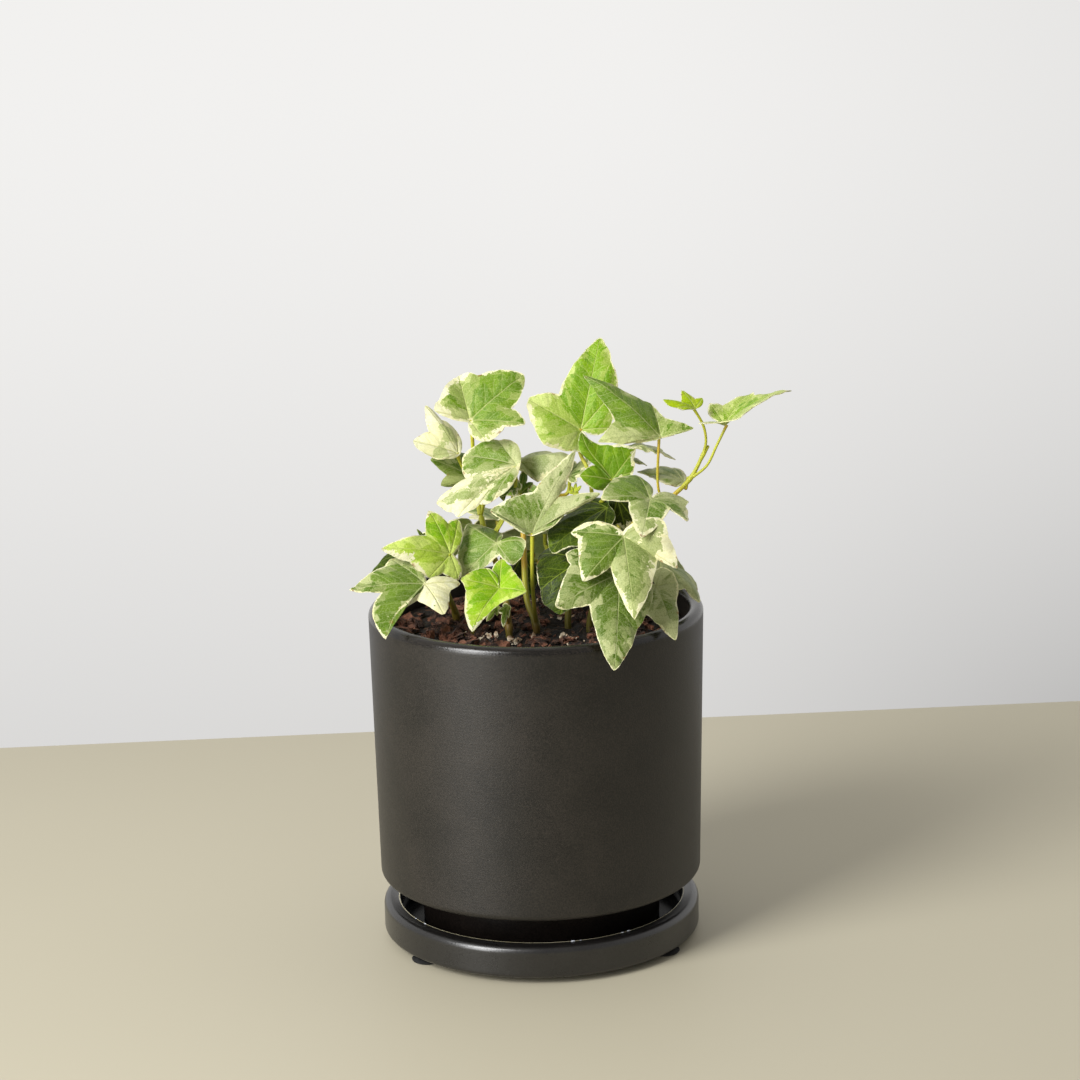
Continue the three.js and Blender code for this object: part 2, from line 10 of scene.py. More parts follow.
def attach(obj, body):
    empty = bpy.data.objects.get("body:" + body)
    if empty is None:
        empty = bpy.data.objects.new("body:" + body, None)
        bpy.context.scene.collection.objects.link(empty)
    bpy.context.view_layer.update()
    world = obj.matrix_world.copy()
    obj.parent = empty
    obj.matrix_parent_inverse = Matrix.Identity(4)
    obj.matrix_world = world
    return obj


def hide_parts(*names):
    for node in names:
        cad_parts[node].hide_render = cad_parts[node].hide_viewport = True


# A potted variegated ivy: a saucer on three pads, a pot, its soil, and leafy stems.
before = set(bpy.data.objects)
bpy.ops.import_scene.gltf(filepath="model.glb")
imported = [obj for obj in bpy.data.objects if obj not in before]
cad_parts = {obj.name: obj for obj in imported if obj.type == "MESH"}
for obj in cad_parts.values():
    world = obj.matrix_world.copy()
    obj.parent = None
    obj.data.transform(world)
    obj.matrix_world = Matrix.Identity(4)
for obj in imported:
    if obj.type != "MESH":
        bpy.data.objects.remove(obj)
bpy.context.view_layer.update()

# Studio
# A matt beige table whose back edge shows left and right of the pot, in front of a pale wall that fades
# towards the lower right. The light is one large soft box at the front left, a low soft panel beside it and
# the pale room itself.
MM = 0.001
CAMERA_PLACE = (2.08, -1091.42, 419.10)
CAMERA_PITCH = 13.858
CAMERA_ROLL = -1.122
CAMERA_LENS = 100.9
SENSOR_WIDTH = 36
TABLE_Z = -2.5
TABLE_BACK_LEFT = (-248.1, 238.5)
TABLE_BACK_RIGHT = (255.9, 278.9)
TABLE_REACH = 2500
TABLE_THICKNESS = 25


class Wire:
    """A socket of a shader tree. Arithmetic on it adds Math nodes, and node adds any other node."""

    def __init__(self, socket):
        self.socket = socket

    @classmethod
    def node(cls, tree, kind, settings, inputs, output=0):
        made = tree.nodes.new("ShaderNode" + kind)
        for name, value in settings.items():
            if name == "stops":
                made.color_ramp.elements[0].position, made.color_ramp.elements[0].color = value[0]
                made.color_ramp.elements[1].position, made.color_ramp.elements[1].color = value[-1]
                for place, shade in value[1:-1]:
                    made.color_ramp.elements.new(place).color = shade
            else:
                setattr(made, name, value)
        for name, value in inputs.items():
            if isinstance(value, Wire):
                tree.links.new(value.socket, made.inputs[name])
            else:
                made.inputs[name].default_value = value
        return cls(made.outputs[output]) if made.outputs else None

    def maths(self, operation, *values):
        return Wire.node(self.socket.id_data, "Math", {"operation": operation}, dict(enumerate(values)))

    def __add__(self, other):
        return self.maths("ADD", self, other)

    def __radd__(self, other):
        return self.maths("ADD", other, self)

    def __sub__(self, other):
        return self.maths("SUBTRACT", self, other)

    def __rsub__(self, other):
        return self.maths("SUBTRACT", other, self)

    def __mul__(self, other):
        return self.maths("MULTIPLY", self, other)

    def __rmul__(self, other):
        return self.maths("MULTIPLY", other, self)

    def __truediv__(self, other):
        return self.maths("DIVIDE", self, other)

    def __abs__(self):
        return self.maths("ABSOLUTE", self)

    def lesser(self, other):
        return self.maths("MINIMUM", self, other)

    def greater(self, other):
        return self.maths("MAXIMUM", self, other)

    def rise(self, low, high):
        """From 0 where the value is at low to 1 where it is at high, in a soft step."""
        limits = {"Value": self, "From Min": low, "From Max": high}
        return Wire.node(self.socket.id_data, "MapRange", {"interpolation_type": "SMOOTHSTEP"}, limits)

    def blend(self, first, second):
        """The first colour where this value is 0, and the second where it is 1."""
        colours = {0: self, 6: first, 7: second}
        return Wire.node(self.socket.id_data, "Mix", {"data_type": "RGBA"}, colours, output=2)


def colour(red, green, blue):
    """A colour given in the usual 0 to 255 steps, as the linear values that shaders use."""
    steps = (value / 255 for value in (red, green, blue))
    return (*((step / 12.92 if step < 0.04 else ((step + 0.055) / 1.055) ** 2.4) for step in steps), 1)


def new_finish(name):
    """A new material, its node tree, and the place on the piece that its patterns follow."""
    material = bpy.data.materials.new(name)
    material.use_nodes = True
    tree = material.node_tree
    tree.nodes.clear()
    return material, tree, Wire.node(tree, "TexCoord", {}, {}, output="Object")


def end_finish(tree, shade, roughness, relief, depth, strength=1, **more):
    """Ends a finish with its shade, its roughness and a relief of this depth in mm."""
    bump = Wire.node(tree, "Bump", {}, {"Height": relief, "Distance": depth * MM, "Strength": strength})
    looks = {"Base Color": shade, "Roughness": roughness, "Normal": bump, **more}
    surface = Wire.node(tree, "BsdfPrincipled", {}, looks)
    Wire.node(tree, "OutputMaterial", {}, {"Surface": surface})


def deselect_all():
    bpy.ops.object.select_all(action="DESELECT")


def select_only(*objects):
    deselect_all()
    for thing in objects:
        thing.select_set(True)
    bpy.context.view_layer.objects.active = objects[0]


lens = bpy.data.cameras.new("camera")
lens.lens = CAMERA_LENS
lens.sensor_width = SENSOR_WIDTH
lens.clip_end = 20
camera = bpy.data.objects.new("camera", lens)
bpy.context.scene.collection.objects.link(camera)
camera.matrix_world = (
    Matrix.Translation(Vector(CAMERA_PLACE) * MM)
    @ Matrix.Rotation(math.radians(90 - CAMERA_PITCH), 4, "X")
    @ Matrix.Rotation(math.radians(CAMERA_ROLL), 4, "Z")
)
bpy.context.scene.camera = camera
bpy.context.scene.view_settings.view_transform = "Standard"

deselect_all()
bpy.ops.mesh.primitive_plane_add(size=2 * TABLE_REACH * MM, location=(0, 0, TABLE_Z * MM))
table = bpy.context.object
table.name = "table"
bpy.ops.object.transform_apply(location=True, rotation=True, scale=True)
edge_slope = (TABLE_BACK_RIGHT[1] - TABLE_BACK_LEFT[1]) / (TABLE_BACK_RIGHT[0] - TABLE_BACK_LEFT[0])
for corner in table.data.vertices:
    if corner.co.y > 0:
        corner.co.y = TABLE_BACK_LEFT[1] * MM + edge_slope * (corner.co.x - TABLE_BACK_LEFT[0] * MM)
bpy.ops.object.mode_set(mode="EDIT")
bpy.ops.mesh.select_all(action="SELECT")
bpy.ops.mesh.extrude_region_move(TRANSFORM_OT_translate={"value": (0, 0, -TABLE_THICKNESS * MM)})
bpy.ops.mesh.select_all(action="SELECT")
bpy.ops.mesh.normals_make_consistent(inside=False)
bpy.ops.object.mode_set(mode="OBJECT")
table_finish, tree, place = new_finish("table_matt")
clouding = Wire.node(tree, "TexNoise", {}, {"Vector": place, "Scale": 3, "Detail": 2})
beige = clouding.blend(colour(181, 174, 152), colour(188, 181, 159))
surface = Wire.node(tree, "BsdfPrincipled", {}, {"Base Color": beige, "Roughness": 0.62})
Wire.node(tree, "OutputMaterial", {}, {"Surface": surface})
table.data.materials.append(table_finish)

WALL_TOP = 0.887
WALL_FOOT = 0.56
WALL_FADE = (-0.48, -0.08)
WALL_COLOUR = (1, 0.99, 0.975, 1)
CORNER_REACH = 0.25
CORNER_SHADE = 0.105
CORNER_FOOT_SHADE = 0.5
ROOM_SHADE = 0.3
KEY_PLACE = (-0.92, -0.83, 0.95)
KEY_SIZE = (0.65, 0.8)
KEY_SPREAD = 80
KEY_POWER = 5.3
PANEL_PLACE = (-0.77, -0.79, 0.2)
PANEL_SIZE = (0.38, 0.5)
PANEL_SPREAD = 180
PANEL_POWER = 6.5
LIGHT_AIM = (0, 0, 0.08)
SIDE_GLOW = 0.22

room = bpy.data.worlds.new("room")
bpy.context.scene.world = room
room.use_nodes = True
room.node_tree.nodes.clear()
towards = Wire.node(room.node_tree, "TexCoord", {}, {}, output="Generated")
sideways = Wire.node(room.node_tree, "SeparateXYZ", {}, {"Vector": towards}, output="X")
inward = Wire.node(room.node_tree, "SeparateXYZ", {}, {"Vector": towards}, output="Y")
upward = Wire.node(room.node_tree, "SeparateXYZ", {}, {"Vector": towards}, output="Z")
height_share = upward.rise(*WALL_FADE)
low_share = 1 - height_share
wall_light = WALL_FOOT + height_share * (WALL_TOP - WALL_FOOT)
corner_shade = CORNER_SHADE + low_share * low_share * CORNER_FOOT_SHADE
wall_light = wall_light - sideways.rise(0, CORNER_REACH) * corner_shade
side_light = sideways.rise(0.4, 0.95) * SIDE_GLOW
room_light = ROOM_SHADE + inward.rise(-0.5, 0.8) * (wall_light - ROOM_SHADE) + side_light
looks = {"Color": WALL_COLOUR, "Strength": room_light}
background = Wire.node(room.node_tree, "Background", {}, looks)
Wire.node(room.node_tree, "OutputWorld", {}, {"Surface": background})

for name, place, size, power, spread in (
    ("soft_box", KEY_PLACE, KEY_SIZE, KEY_POWER, KEY_SPREAD),
    ("soft_panel", PANEL_PLACE, PANEL_SIZE, PANEL_POWER, PANEL_SPREAD),
):
    lamp = bpy.data.lights.new(name, "AREA")
    lamp.shape = "RECTANGLE"
    lamp.size, lamp.size_y = size
    lamp.energy = power
    lamp.spread = math.radians(spread)
    light = bpy.data.objects.new(name, lamp)
    bpy.context.scene.collection.objects.link(light)
    light.location = place
    light.rotation_euler = (Vector(LIGHT_AIM) - Vector(place)).to_track_quat("-Z", "Y").to_euler()

# Saucer
# A shallow dish of dark stoneware, thrown on a wheel. Its outside and lip have a soft sheen. The inside,
# where water stands, has a glossy glaze that ends at the inner edge of the lip in a thin bead, painted
# pale as a painted glint, which holds a few drops of water.
SAUCER_RADIUS = 60
SAUCER_HEIGHT = 12
SAUCER_FLOOR = 3.5
SAUCER_WALL = 5
SAUCER_EDGE = 1.5
SAUCER_FILLET = 3
SAUCER_CENTRE_RING = 20
LIP_DIP = 0.35
LIP_SLOPE = 1.2
GLAZE_BEAD = 0.45
BEAD_INSET = 0.7
BEAD_DEPTH = 0.55
BEAD_SKIRT = 1.8
DROP_HEADINGS = (-150, -143, -78, -75, -57, -54)
DROP_RADIUS = 0.45
DROP_STEP = 0.1
DROP_SHAPE = (0.55, 1.5, 0.8)
DROP_LIFT = 0.2
NEVER_WORN = 99
POT_WORN_ABOVE = 123
WHEEL_SIDES = 160
HOLD = 0.8


def arc(centre_radius, centre_height, radius, from_angle, to_angle, steps):
    """Points of a rounded corner of a turned profile, as (radius, height)."""
    points = []
    for step in range(steps + 1):
        angle = math.radians(from_angle + (to_angle - from_angle) * step / steps)
        points.append((centre_radius + radius * math.cos(angle), centre_height + radius * math.sin(angle)))
    return points


def thrown(name, profile, sides, filled):
    """A turned piece, drawn up ring by ring along its profile. A filled one starts and ends on the axis."""
    first_radius, first_height = profile[0]
    deselect_all()
    bpy.ops.mesh.primitive_circle_add(
        vertices=sides,
        radius=first_radius * MM,
        fill_type="TRIFAN" if filled else "NOTHING",
        location=(0, 0, first_height * MM),
    )
    piece = bpy.context.object
    piece.name = name
    bpy.ops.object.transform_apply(location=True, rotation=True, scale=True)
    bpy.ops.object.mode_set(mode="EDIT")
    bpy.ops.mesh.select_mode(type="EDGE")
    bpy.ops.mesh.select_all(action="SELECT")
    if filled:
        bpy.ops.mesh.region_to_loop()
    radius, height = first_radius, first_height
    for next_radius, next_height in profile[1:]:
        bpy.ops.mesh.extrude_edges_move(
            TRANSFORM_OT_translate={"value": (0, 0, (next_height - height) * MM)}
        )
        spread = next_radius / radius
        bpy.ops.transform.resize(value=(spread, spread, 1), center_override=(0, 0, 0))
        radius, height = next_radius, next_height
    if filled:
        bpy.ops.mesh.merge(type="CENTER")
    bpy.ops.mesh.select_all(action="SELECT")
    bpy.ops.mesh.remove_doubles(threshold=0.01 * MM)
    bpy.ops.mesh.normals_make_consistent(inside=False)
    bpy.ops.object.mode_set(mode="OBJECT")
    bpy.ops.object.shade_smooth_by_angle(angle=math.radians(40))
    return piece


def stoneware(name, body, speck, matt, grain, shine, worn_above=NEVER_WORN):
    """A fired finish with soft clouds and fine grains, smoother above a height in mm."""
    material, tree, place = new_finish(name)
    clouds = Wire.node(tree, "TexNoise", {}, {"Vector": place, "Scale": 45, "Detail": 4, "Roughness": 0.6})
    pepper = Wire.node(tree, "TexNoise", {}, {"Vector": place, "Scale": 1900, "Detail": 3})
    wheel = Wire.node(tree, "SeparateXYZ", {}, {"Vector": place}, output="Z")
    turns = Wire.node(tree, "TexNoise", {"noise_dimensions": "1D"}, {"W": wheel, "Scale": 900, "Detail": 2})
    shade = (clouds * 0.35 + pepper * 0.65).rise(0.35, 0.68).blend(body, speck)
    worn = wheel.rise((worn_above - 1) * MM, (worn_above + 1) * MM) * 0.25
    roughness = matt - worn + (clouds - 0.5) * 0.12 + (pepper - 0.5) * 0.12
    relief = pepper + turns * 0.3 + clouds
    end_finish(tree, shade, roughness, relief, grain, strength=0.6, **{"Specular IOR Level": shine})
    return material


sheen_stoneware = stoneware(
    "sheen_stoneware", colour(11, 10, 10), colour(30, 28, 26), matt=0.3, grain=0.02, shine=0.75
)
glossy_glaze = stoneware(
    "glossy_glaze", colour(9, 8, 7), colour(15, 13, 11), matt=0.2, grain=0.006, shine=0.03
)
# The bead's pale colour is a painted glint: the thin line of light along the inner edge of the lip.
painted_glint_bead = stoneware(
    "painted_glint_bead", colour(196, 184, 140), colour(238, 232, 204), matt=0.3, grain=0.02, shine=0.5
)

saucer_lip = SAUCER_WALL / 2
inner_wall = SAUCER_RADIUS - SAUCER_WALL
bead_radius = inner_wall - BEAD_INSET
bead_z = SAUCER_HEIGHT - BEAD_DEPTH
saucer_profile = [
    (SAUCER_RADIUS - SAUCER_EDGE - HOLD, 0),
    *arc(SAUCER_RADIUS - SAUCER_EDGE, SAUCER_EDGE, SAUCER_EDGE, -90, 0, 6),
    (SAUCER_RADIUS, SAUCER_EDGE + HOLD),
    (SAUCER_RADIUS, SAUCER_HEIGHT - saucer_lip - HOLD),
    *arc(SAUCER_RADIUS - saucer_lip, SAUCER_HEIGHT - saucer_lip, saucer_lip, 0, 96, 10),
    (bead_radius + LIP_SLOPE, SAUCER_HEIGHT - LIP_DIP),
    *arc(bead_radius, bead_z, GLAZE_BEAD, 75, 245, 6),
    (inner_wall, bead_z - BEAD_SKIRT),
    *arc(inner_wall - SAUCER_FILLET, SAUCER_FLOOR + SAUCER_FILLET, SAUCER_FILLET, 0, -90, 6),
    (inner_wall - SAUCER_FILLET - HOLD, SAUCER_FLOOR),
    (SAUCER_CENTRE_RING, SAUCER_FLOOR),
]
saucer = thrown("saucer_dish", saucer_profile, WHEEL_SIDES, filled=True)
saucer.data.materials.append(sheen_stoneware)
saucer.data.materials.append(glossy_glaze)
saucer.data.materials.append(painted_glint_bead)
# Faces on the bead take the painted glint, and the inside takes the glossy glaze.
for face in saucer.data.polygons:
    away, height = face.center.xy.length, face.center.z
    on_glint_bead = abs(away - bead_radius * MM) < GLAZE_BEAD * MM and height > bead_z * MM
    inside = away < (bead_radius + 0.3) * MM and height > (SAUCER_FLOOR - 0.1) * MM
    face.material_index = 2 if on_glint_bead else int(inside)
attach(saucer, "root")
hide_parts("saucer")

drops = []
for number, heading in enumerate(DROP_HEADINGS):
    angle = math.radians(heading)
    spot = Vector((bead_radius * math.cos(angle), bead_radius * math.sin(angle), bead_z + DROP_LIFT))
    deselect_all()
    bpy.ops.mesh.primitive_uv_sphere_add(
        segments=16,
        ring_count=8,
        radius=(DROP_RADIUS + DROP_STEP * (number % 3)) * MM,
        location=spot * MM,
        rotation=(0, 0, angle),
        scale=DROP_SHAPE,
    )
    drops.append(bpy.context.object)
select_only(*drops)
bpy.ops.object.join()
drops = bpy.context.object
drops.name = "water_drops"
bpy.ops.object.transform_apply(location=True, rotation=True, scale=True)
bpy.ops.object.shade_smooth()
# The drops are painted pale blue-white as painted glints of light on water.
wet, tree, place = new_finish("water_drop")
ripple = Wire.node(tree, "TexNoise", {}, {"Vector": place, "Scale": 1200, "Detail": 1})
painted_glint_blue = ripple.blend(colour(176, 180, 186), colour(228, 232, 238))
end_finish(tree, painted_glint_blue, 0.04 + ripple * 0.04, ripple, depth=0.02)
drops.data.materials.append(wet)
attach(drops, "root")

# Pads
# Three small round feet of dark rubber, stuck under the saucer so that it doesn't scratch the table.
PAD_RADIUS = 6
PAD_HEIGHT = 2.2
PAD_TOP_Z = -0.3
PAD_EDGE = 0.7
PAD_CIRCLE_RADIUS = 53.5
PAD_HEADINGS = {"front_left": -143, "front_right": -32, "back": 92}

rubber, tree, place = new_finish("matt_rubber")
dust = Wire.node(tree, "TexNoise", {}, {"Vector": place, "Scale": 700, "Detail": 3})
black = dust.rise(0.35, 0.75).blend(colour(20, 20, 20), colour(38, 37, 36))
end_finish(tree, black, 0.7 + dust * 0.2, dust, depth=0.05)

pad_foot_z = PAD_TOP_Z - PAD_HEIGHT
pad_profile = [
    (PAD_RADIUS - PAD_EDGE - 0.6, pad_foot_z),
    *arc(PAD_RADIUS - PAD_EDGE, pad_foot_z + PAD_EDGE, PAD_EDGE, -90, 0, 4),
    (PAD_RADIUS, PAD_TOP_Z),
]
first_pad = thrown("pad", pad_profile, 40, filled=True)
first_pad.data.materials.append(rubber)
for side, heading in PAD_HEADINGS.items():
    pad = bpy.data.objects.new(f"rubber_pad_{side}", first_pad.data.copy())
    bpy.context.scene.collection.objects.link(pad)
    angle = math.radians(heading)
    shift = Vector((math.cos(angle), math.sin(angle), 0)) * PAD_CIRCLE_RADIUS * MM
    pad.data.transform(Matrix.Translation(shift))
    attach(pad, "root")
    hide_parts(f"pad_{side}")
bpy.data.objects.remove(first_pad)

# Pot
# A straight pot of dark stoneware, thrown with a rounded rim and a foot ring that lifts it above
# the saucer. It is satin with a rim worn smooth, and a hole in its floor lets water drain. Its foot ring,
# in the shade under the pot, is painted darker as painted shade.
POT_TOP_RADIUS = 62.5
POT_BASE_RADIUS = 60.7
POT_WALL = 5.5
POT_RIM_Z = 125.5
POT_BASE_Z = 22
POT_FLOOR = 6
POT_EDGE = 2.5
FOOT_OUTER_RADIUS = 45
FOOT_WALL = 6
FOOT_EDGE = 1
FOOT_RECESS_Z = 20
DRAIN_RADIUS = 5
SEAT_GAP = 0.3
TAPER_ON_HOLD = 0.015

rim = POT_WALL / 2
foot_z = SAUCER_FLOOR + SEAT_GAP
floor_z = POT_BASE_Z + POT_FLOOR
inner_base = POT_BASE_RADIUS - POT_WALL
pot_profile = [
    (DRAIN_RADIUS, FOOT_RECESS_Z),
    (FOOT_OUTER_RADIUS - FOOT_WALL, FOOT_RECESS_Z),
    *arc(FOOT_OUTER_RADIUS - FOOT_WALL + FOOT_EDGE, foot_z + FOOT_EDGE, FOOT_EDGE, 180, 270, 3),
    *arc(FOOT_OUTER_RADIUS - FOOT_EDGE, foot_z + FOOT_EDGE, FOOT_EDGE, -90, 0, 3),
    (FOOT_OUTER_RADIUS, POT_BASE_Z),
    (POT_BASE_RADIUS - POT_EDGE - HOLD, POT_BASE_Z),
    *arc(POT_BASE_RADIUS - POT_EDGE, POT_BASE_Z + POT_EDGE, POT_EDGE, -90, 0, 8),
    (POT_BASE_RADIUS + TAPER_ON_HOLD, POT_BASE_Z + POT_EDGE + HOLD),
    (POT_TOP_RADIUS - TAPER_ON_HOLD, POT_RIM_Z - rim - HOLD),
    *arc(POT_TOP_RADIUS - rim, POT_RIM_Z - rim, rim, 0, 180, 14),
    (POT_TOP_RADIUS - POT_WALL - TAPER_ON_HOLD, POT_RIM_Z - rim - HOLD),
    *arc(inner_base - POT_EDGE, floor_z + POT_EDGE, POT_EDGE, 0, -90, 4),
    (DRAIN_RADIUS, floor_z),
    (DRAIN_RADIUS, FOOT_RECESS_Z),
]
pot = thrown("pot_body", pot_profile, WHEEL_SIDES, filled=False)
satin_stoneware = stoneware(
    "satin_stoneware",
    colour(9, 7, 4),
    colour(38, 33, 27),
    matt=0.46,
    grain=0.09,
    shine=0.52,
    worn_above=POT_WORN_ABOVE,
)
# The foot ring's darker finish is painted shade for the shadow under the pot.
shaded_foot_stoneware = stoneware(
    "shaded_foot_stoneware", colour(8, 6, 5), colour(25, 20, 17), matt=0.4, grain=0.05, shine=0.12
)
pot.data.materials.append(satin_stoneware)
pot.data.materials.append(shaded_foot_stoneware)
for face in pot.data.polygons:
    face.material_index = int(face.center.z < (POT_BASE_Z - 0.1) * MM)
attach(pot, "root")
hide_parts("pot")

# Soil
# A moist dark mix of peat and composted bark that fills the pot. Its lumpy top lies just below the rim,
# with reddish bark chips and white grains of expanded rock on it.
SOIL_EDGE_Z = 115.5
SOIL_CROWN_Z = 117.5
SOIL_LUMP = 1.5
SOIL_CLOD = 0.5
SOIL_RING = 1.4
SOIL_BASE_EDGE = (3.3, 3)
CHIP_COUNT = 380
GRAIN_COUNT = 110
GRAIN_CLUSTERS = ((-28, -12), (-19, -20), (-8, -22), (10, -22))
FIBRE_COUNT = 60
FIBRE_RADIUS = 0.12
FIBRE_BOW = 0.6
BROKEN = 0.2
FULL_TURN = 6.28


def soil_height(x, y):
    """Height of the soil's top, in mm: a low crown with lumps of several sizes."""
    away = min(1, math.hypot(x, y) / 56)
    lumps = noise.fractal(Vector((x, y, 3.0)) / 7.5, 0.7, 2.1, 4)
    clods = noise.noise(Vector((x, y, 8.0)) / 2.2)
    lean = (1 - away ** 6) * (SOIL_LUMP * lumps + SOIL_CLOD * clods)
    return SOIL_CROWN_Z + (SOIL_EDGE_Z - SOIL_CROWN_Z) * away ** 2 + lean


soil_edge_radius = inner_base + (POT_TOP_RADIUS - POT_BASE_RADIUS) * 0.9 - SEAT_GAP
edge_width, edge_height = SOIL_BASE_EDGE
soil_base = inner_base - SEAT_GAP
soil_profile = [(soil_base - edge_width, floor_z + SEAT_GAP), (soil_base, floor_z + edge_height)]
ring_radius = soil_edge_radius
while ring_radius > 2:
    soil_profile.append((ring_radius, SOIL_EDGE_Z))
    ring_radius -= SOIL_RING
soil = thrown("potting_soil", soil_profile, WHEEL_SIDES, filled=True)
for vertex in soil.data.vertices:
    x, y = vertex.co.x / MM, vertex.co.y / MM
    if vertex.co.z > (SOIL_EDGE_Z - 1) * MM:
        vertex.co.z = soil_height(x, y) * MM

crumbs, tree, place = new_finish("moist_soil")
coarse = Wire.node(tree, "TexNoise", {}, {"Vector": place, "Scale": 260, "Detail": 5, "Roughness": 0.65})
fine = Wire.node(tree, "TexVoronoi", {}, {"Vector": place, "Scale": 650}, output="Distance")
bits = Wire.node(tree, "TexVoronoi", {}, {"Vector": place, "Scale": 420}, output="Color")
peat = coarse.rise(0.35, 0.7).blend(colour(9, 6, 3), colour(42, 28, 15))
few_bits = Wire.node(tree, "SeparateColor", {}, {"Color": bits}, output="Red").rise(0.88, 0.94)
peat = (few_bits * 0.6).blend(peat, colour(96, 66, 48))
end_finish(tree, peat, 0.75 + coarse * 0.3, coarse * 1.5 - fine, depth=1)
soil.data.materials.append(crumbs)
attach(soil, "root")
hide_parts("soil")


def crumpled(piece, offset, seed):
    """Moves the vertices of a primitive a little at random, so that it looks broken."""
    select_only(piece)
    bpy.ops.object.mode_set(mode="EDIT")
    bpy.ops.mesh.select_all(action="SELECT")
    bpy.ops.transform.vertex_random(offset=offset * MM, uniform=1, normal=0, seed=seed)
    bpy.ops.object.mode_set(mode="OBJECT")


def scattered(name, masters, count, seed, place_one):
    """Copies of the masters laid on the soil, each turned and sized by its own draw, as one piece."""
    draw = random.Random(seed)
    copies = []
    for number in range(count):
        master = draw.choice(masters)
        copy = bpy.data.objects.new(f"{name}_{number}", master.data.copy())
        bpy.context.scene.collection.objects.link(copy)
        copy.data.transform(place_one(draw))
        copies.append(copy)
    select_only(*copies)
    bpy.ops.object.join()
    heap = bpy.context.object
    heap.name = name
    for master in masters:
        bpy.data.objects.remove(master)
    return heap


def spot_on_soil(draw, reach):
    radius = reach * math.sqrt(draw.random())
    heading = draw.uniform(0, 2 * math.pi)
    x, y = radius * math.cos(heading), radius * math.sin(heading)
    return Vector((x, y, soil_height(x, y)))


def lay_chip(draw):
    """A chip of bark. The chips at the left, towards the front, are larger."""
    spot = spot_on_soil(draw, 53)
    at_left = spot.x < -10 and spot.y < 18
    length = draw.choice((3.4, 4.4, 5.6, 7)) if at_left else draw.choice((1.4, 1.8, 2.3, 3, 4))
    turn = Euler((draw.gauss(0, 0.45), draw.gauss(0, 0.45), draw.uniform(0, FULL_TURN)))
    size = Matrix.Diagonal((length, length * draw.uniform(0.4, 0.8), length * draw.uniform(0.25, 0.55), 1))
    lift = Vector((0, 0, draw.uniform(0, 1.6)))
    return Matrix.Translation((spot + lift) * MM) @ turn.to_matrix().to_4x4() @ size


def lay_grain(draw):
    """A white grain. About half of the grains belong to a cluster at the front."""
    spot = spot_on_soil(draw, 54)
    if draw.random() < 0.5:
        x, y = draw.choice(GRAIN_CLUSTERS)
        x, y = x + draw.gauss(0, 2.4), y + draw.gauss(0, 1.6)
        spot = Vector((x, y, soil_height(x, y) + 0.6))
    width = draw.choice((0.8, 1.1, 1.6, 2.4))
    turn = Euler((draw.uniform(0, FULL_TURN), draw.uniform(0, FULL_TURN), draw.uniform(0, FULL_TURN)))
    size = Matrix.Diagonal((width, width * draw.uniform(0.6, 0.9), width * draw.uniform(0.5, 0.8), 1))
    return Matrix.Translation((spot + Vector((0, 0, 0.3))) * MM) @ turn.to_matrix().to_4x4() @ size


def lay_fibre(draw):
    """A thin fibre of bark, bowed and nearly flat on the soil."""
    spot = spot_on_soil(draw, 52)
    turn = Euler((draw.gauss(0, 0.2), draw.gauss(0, 0.2), draw.uniform(0, FULL_TURN)))
    size = Matrix.Diagonal((draw.uniform(3, 8), draw.uniform(0.7, 1.4), 1, 1))
    return Matrix.Translation((spot + Vector((0, 0, 0.7))) * MM) @ turn.to_matrix().to_4x4() @ size


chip_masters = []
for number in range(4):
    deselect_all()
    bpy.ops.mesh.primitive_cube_add(size=MM)
    chip = bpy.context.object
    bpy.ops.object.mode_set(mode="EDIT")
    bpy.ops.mesh.select_all(action="SELECT")
    bpy.ops.mesh.subdivide(number_cuts=2)
    bpy.ops.object.mode_set(mode="OBJECT")
    crumpled(chip, BROKEN, seed=number)
    chip_masters.append(chip)
chips = scattered("bark_chips", chip_masters, CHIP_COUNT, 11, lay_chip)

grain_masters = []
for number in range(3):
    deselect_all()
    bpy.ops.mesh.primitive_ico_sphere_add(subdivisions=2, radius=0.5 * MM)
    grain = bpy.context.object
    crumpled(grain, BROKEN, seed=20 + number)
    grain_masters.append(grain)
grains = scattered("white_grains", grain_masters, GRAIN_COUNT, 5, lay_grain)

fibre_masters = []
for number in range(2):
    deselect_all()
    bpy.ops.mesh.primitive_cylinder_add(
        vertices=5, radius=FIBRE_RADIUS * MM, depth=MM, rotation=(0, math.pi / 2, 0)
    )
    fibre = bpy.context.object
    bpy.ops.object.transform_apply(location=False, rotation=True, scale=False)
    bpy.ops.object.mode_set(mode="EDIT")
    bpy.ops.mesh.select_all(action="SELECT")
    bpy.ops.mesh.bisect(plane_co=(0, 0, 0), plane_no=(1, 0, 0))
    bpy.ops.object.mode_set(mode="OBJECT")
    for vertex in fibre.data.vertices:
        vertex.co.y += FIBRE_BOW * MM * math.cos(3 * vertex.co.x / MM)
    fibre_masters.append(fibre)
fibres = scattered("bark_fibres", fibre_masters, FIBRE_COUNT, 3, lay_fibre)

bark, tree, place = new_finish("reddish_bark")
lump = Wire.node(tree, "TexNoise", {}, {"Vector": place, "Scale": 190, "Detail": 2})
torn = {"Vector": place, "Scale": 900, "Detail": 4, "Distortion": 1.5}
grain_lines = Wire.node(tree, "TexNoise", {}, torn)
shade = lump.rise(0.42, 0.66).blend(colour(40, 23, 14), colour(126, 80, 58))
shade = (grain_lines.rise(0.52, 0.75) * 0.5).blend(shade, colour(178, 132, 104))
end_finish(tree, shade, 0.65 + lump * 0.3, grain_lines + lump, depth=0.7)

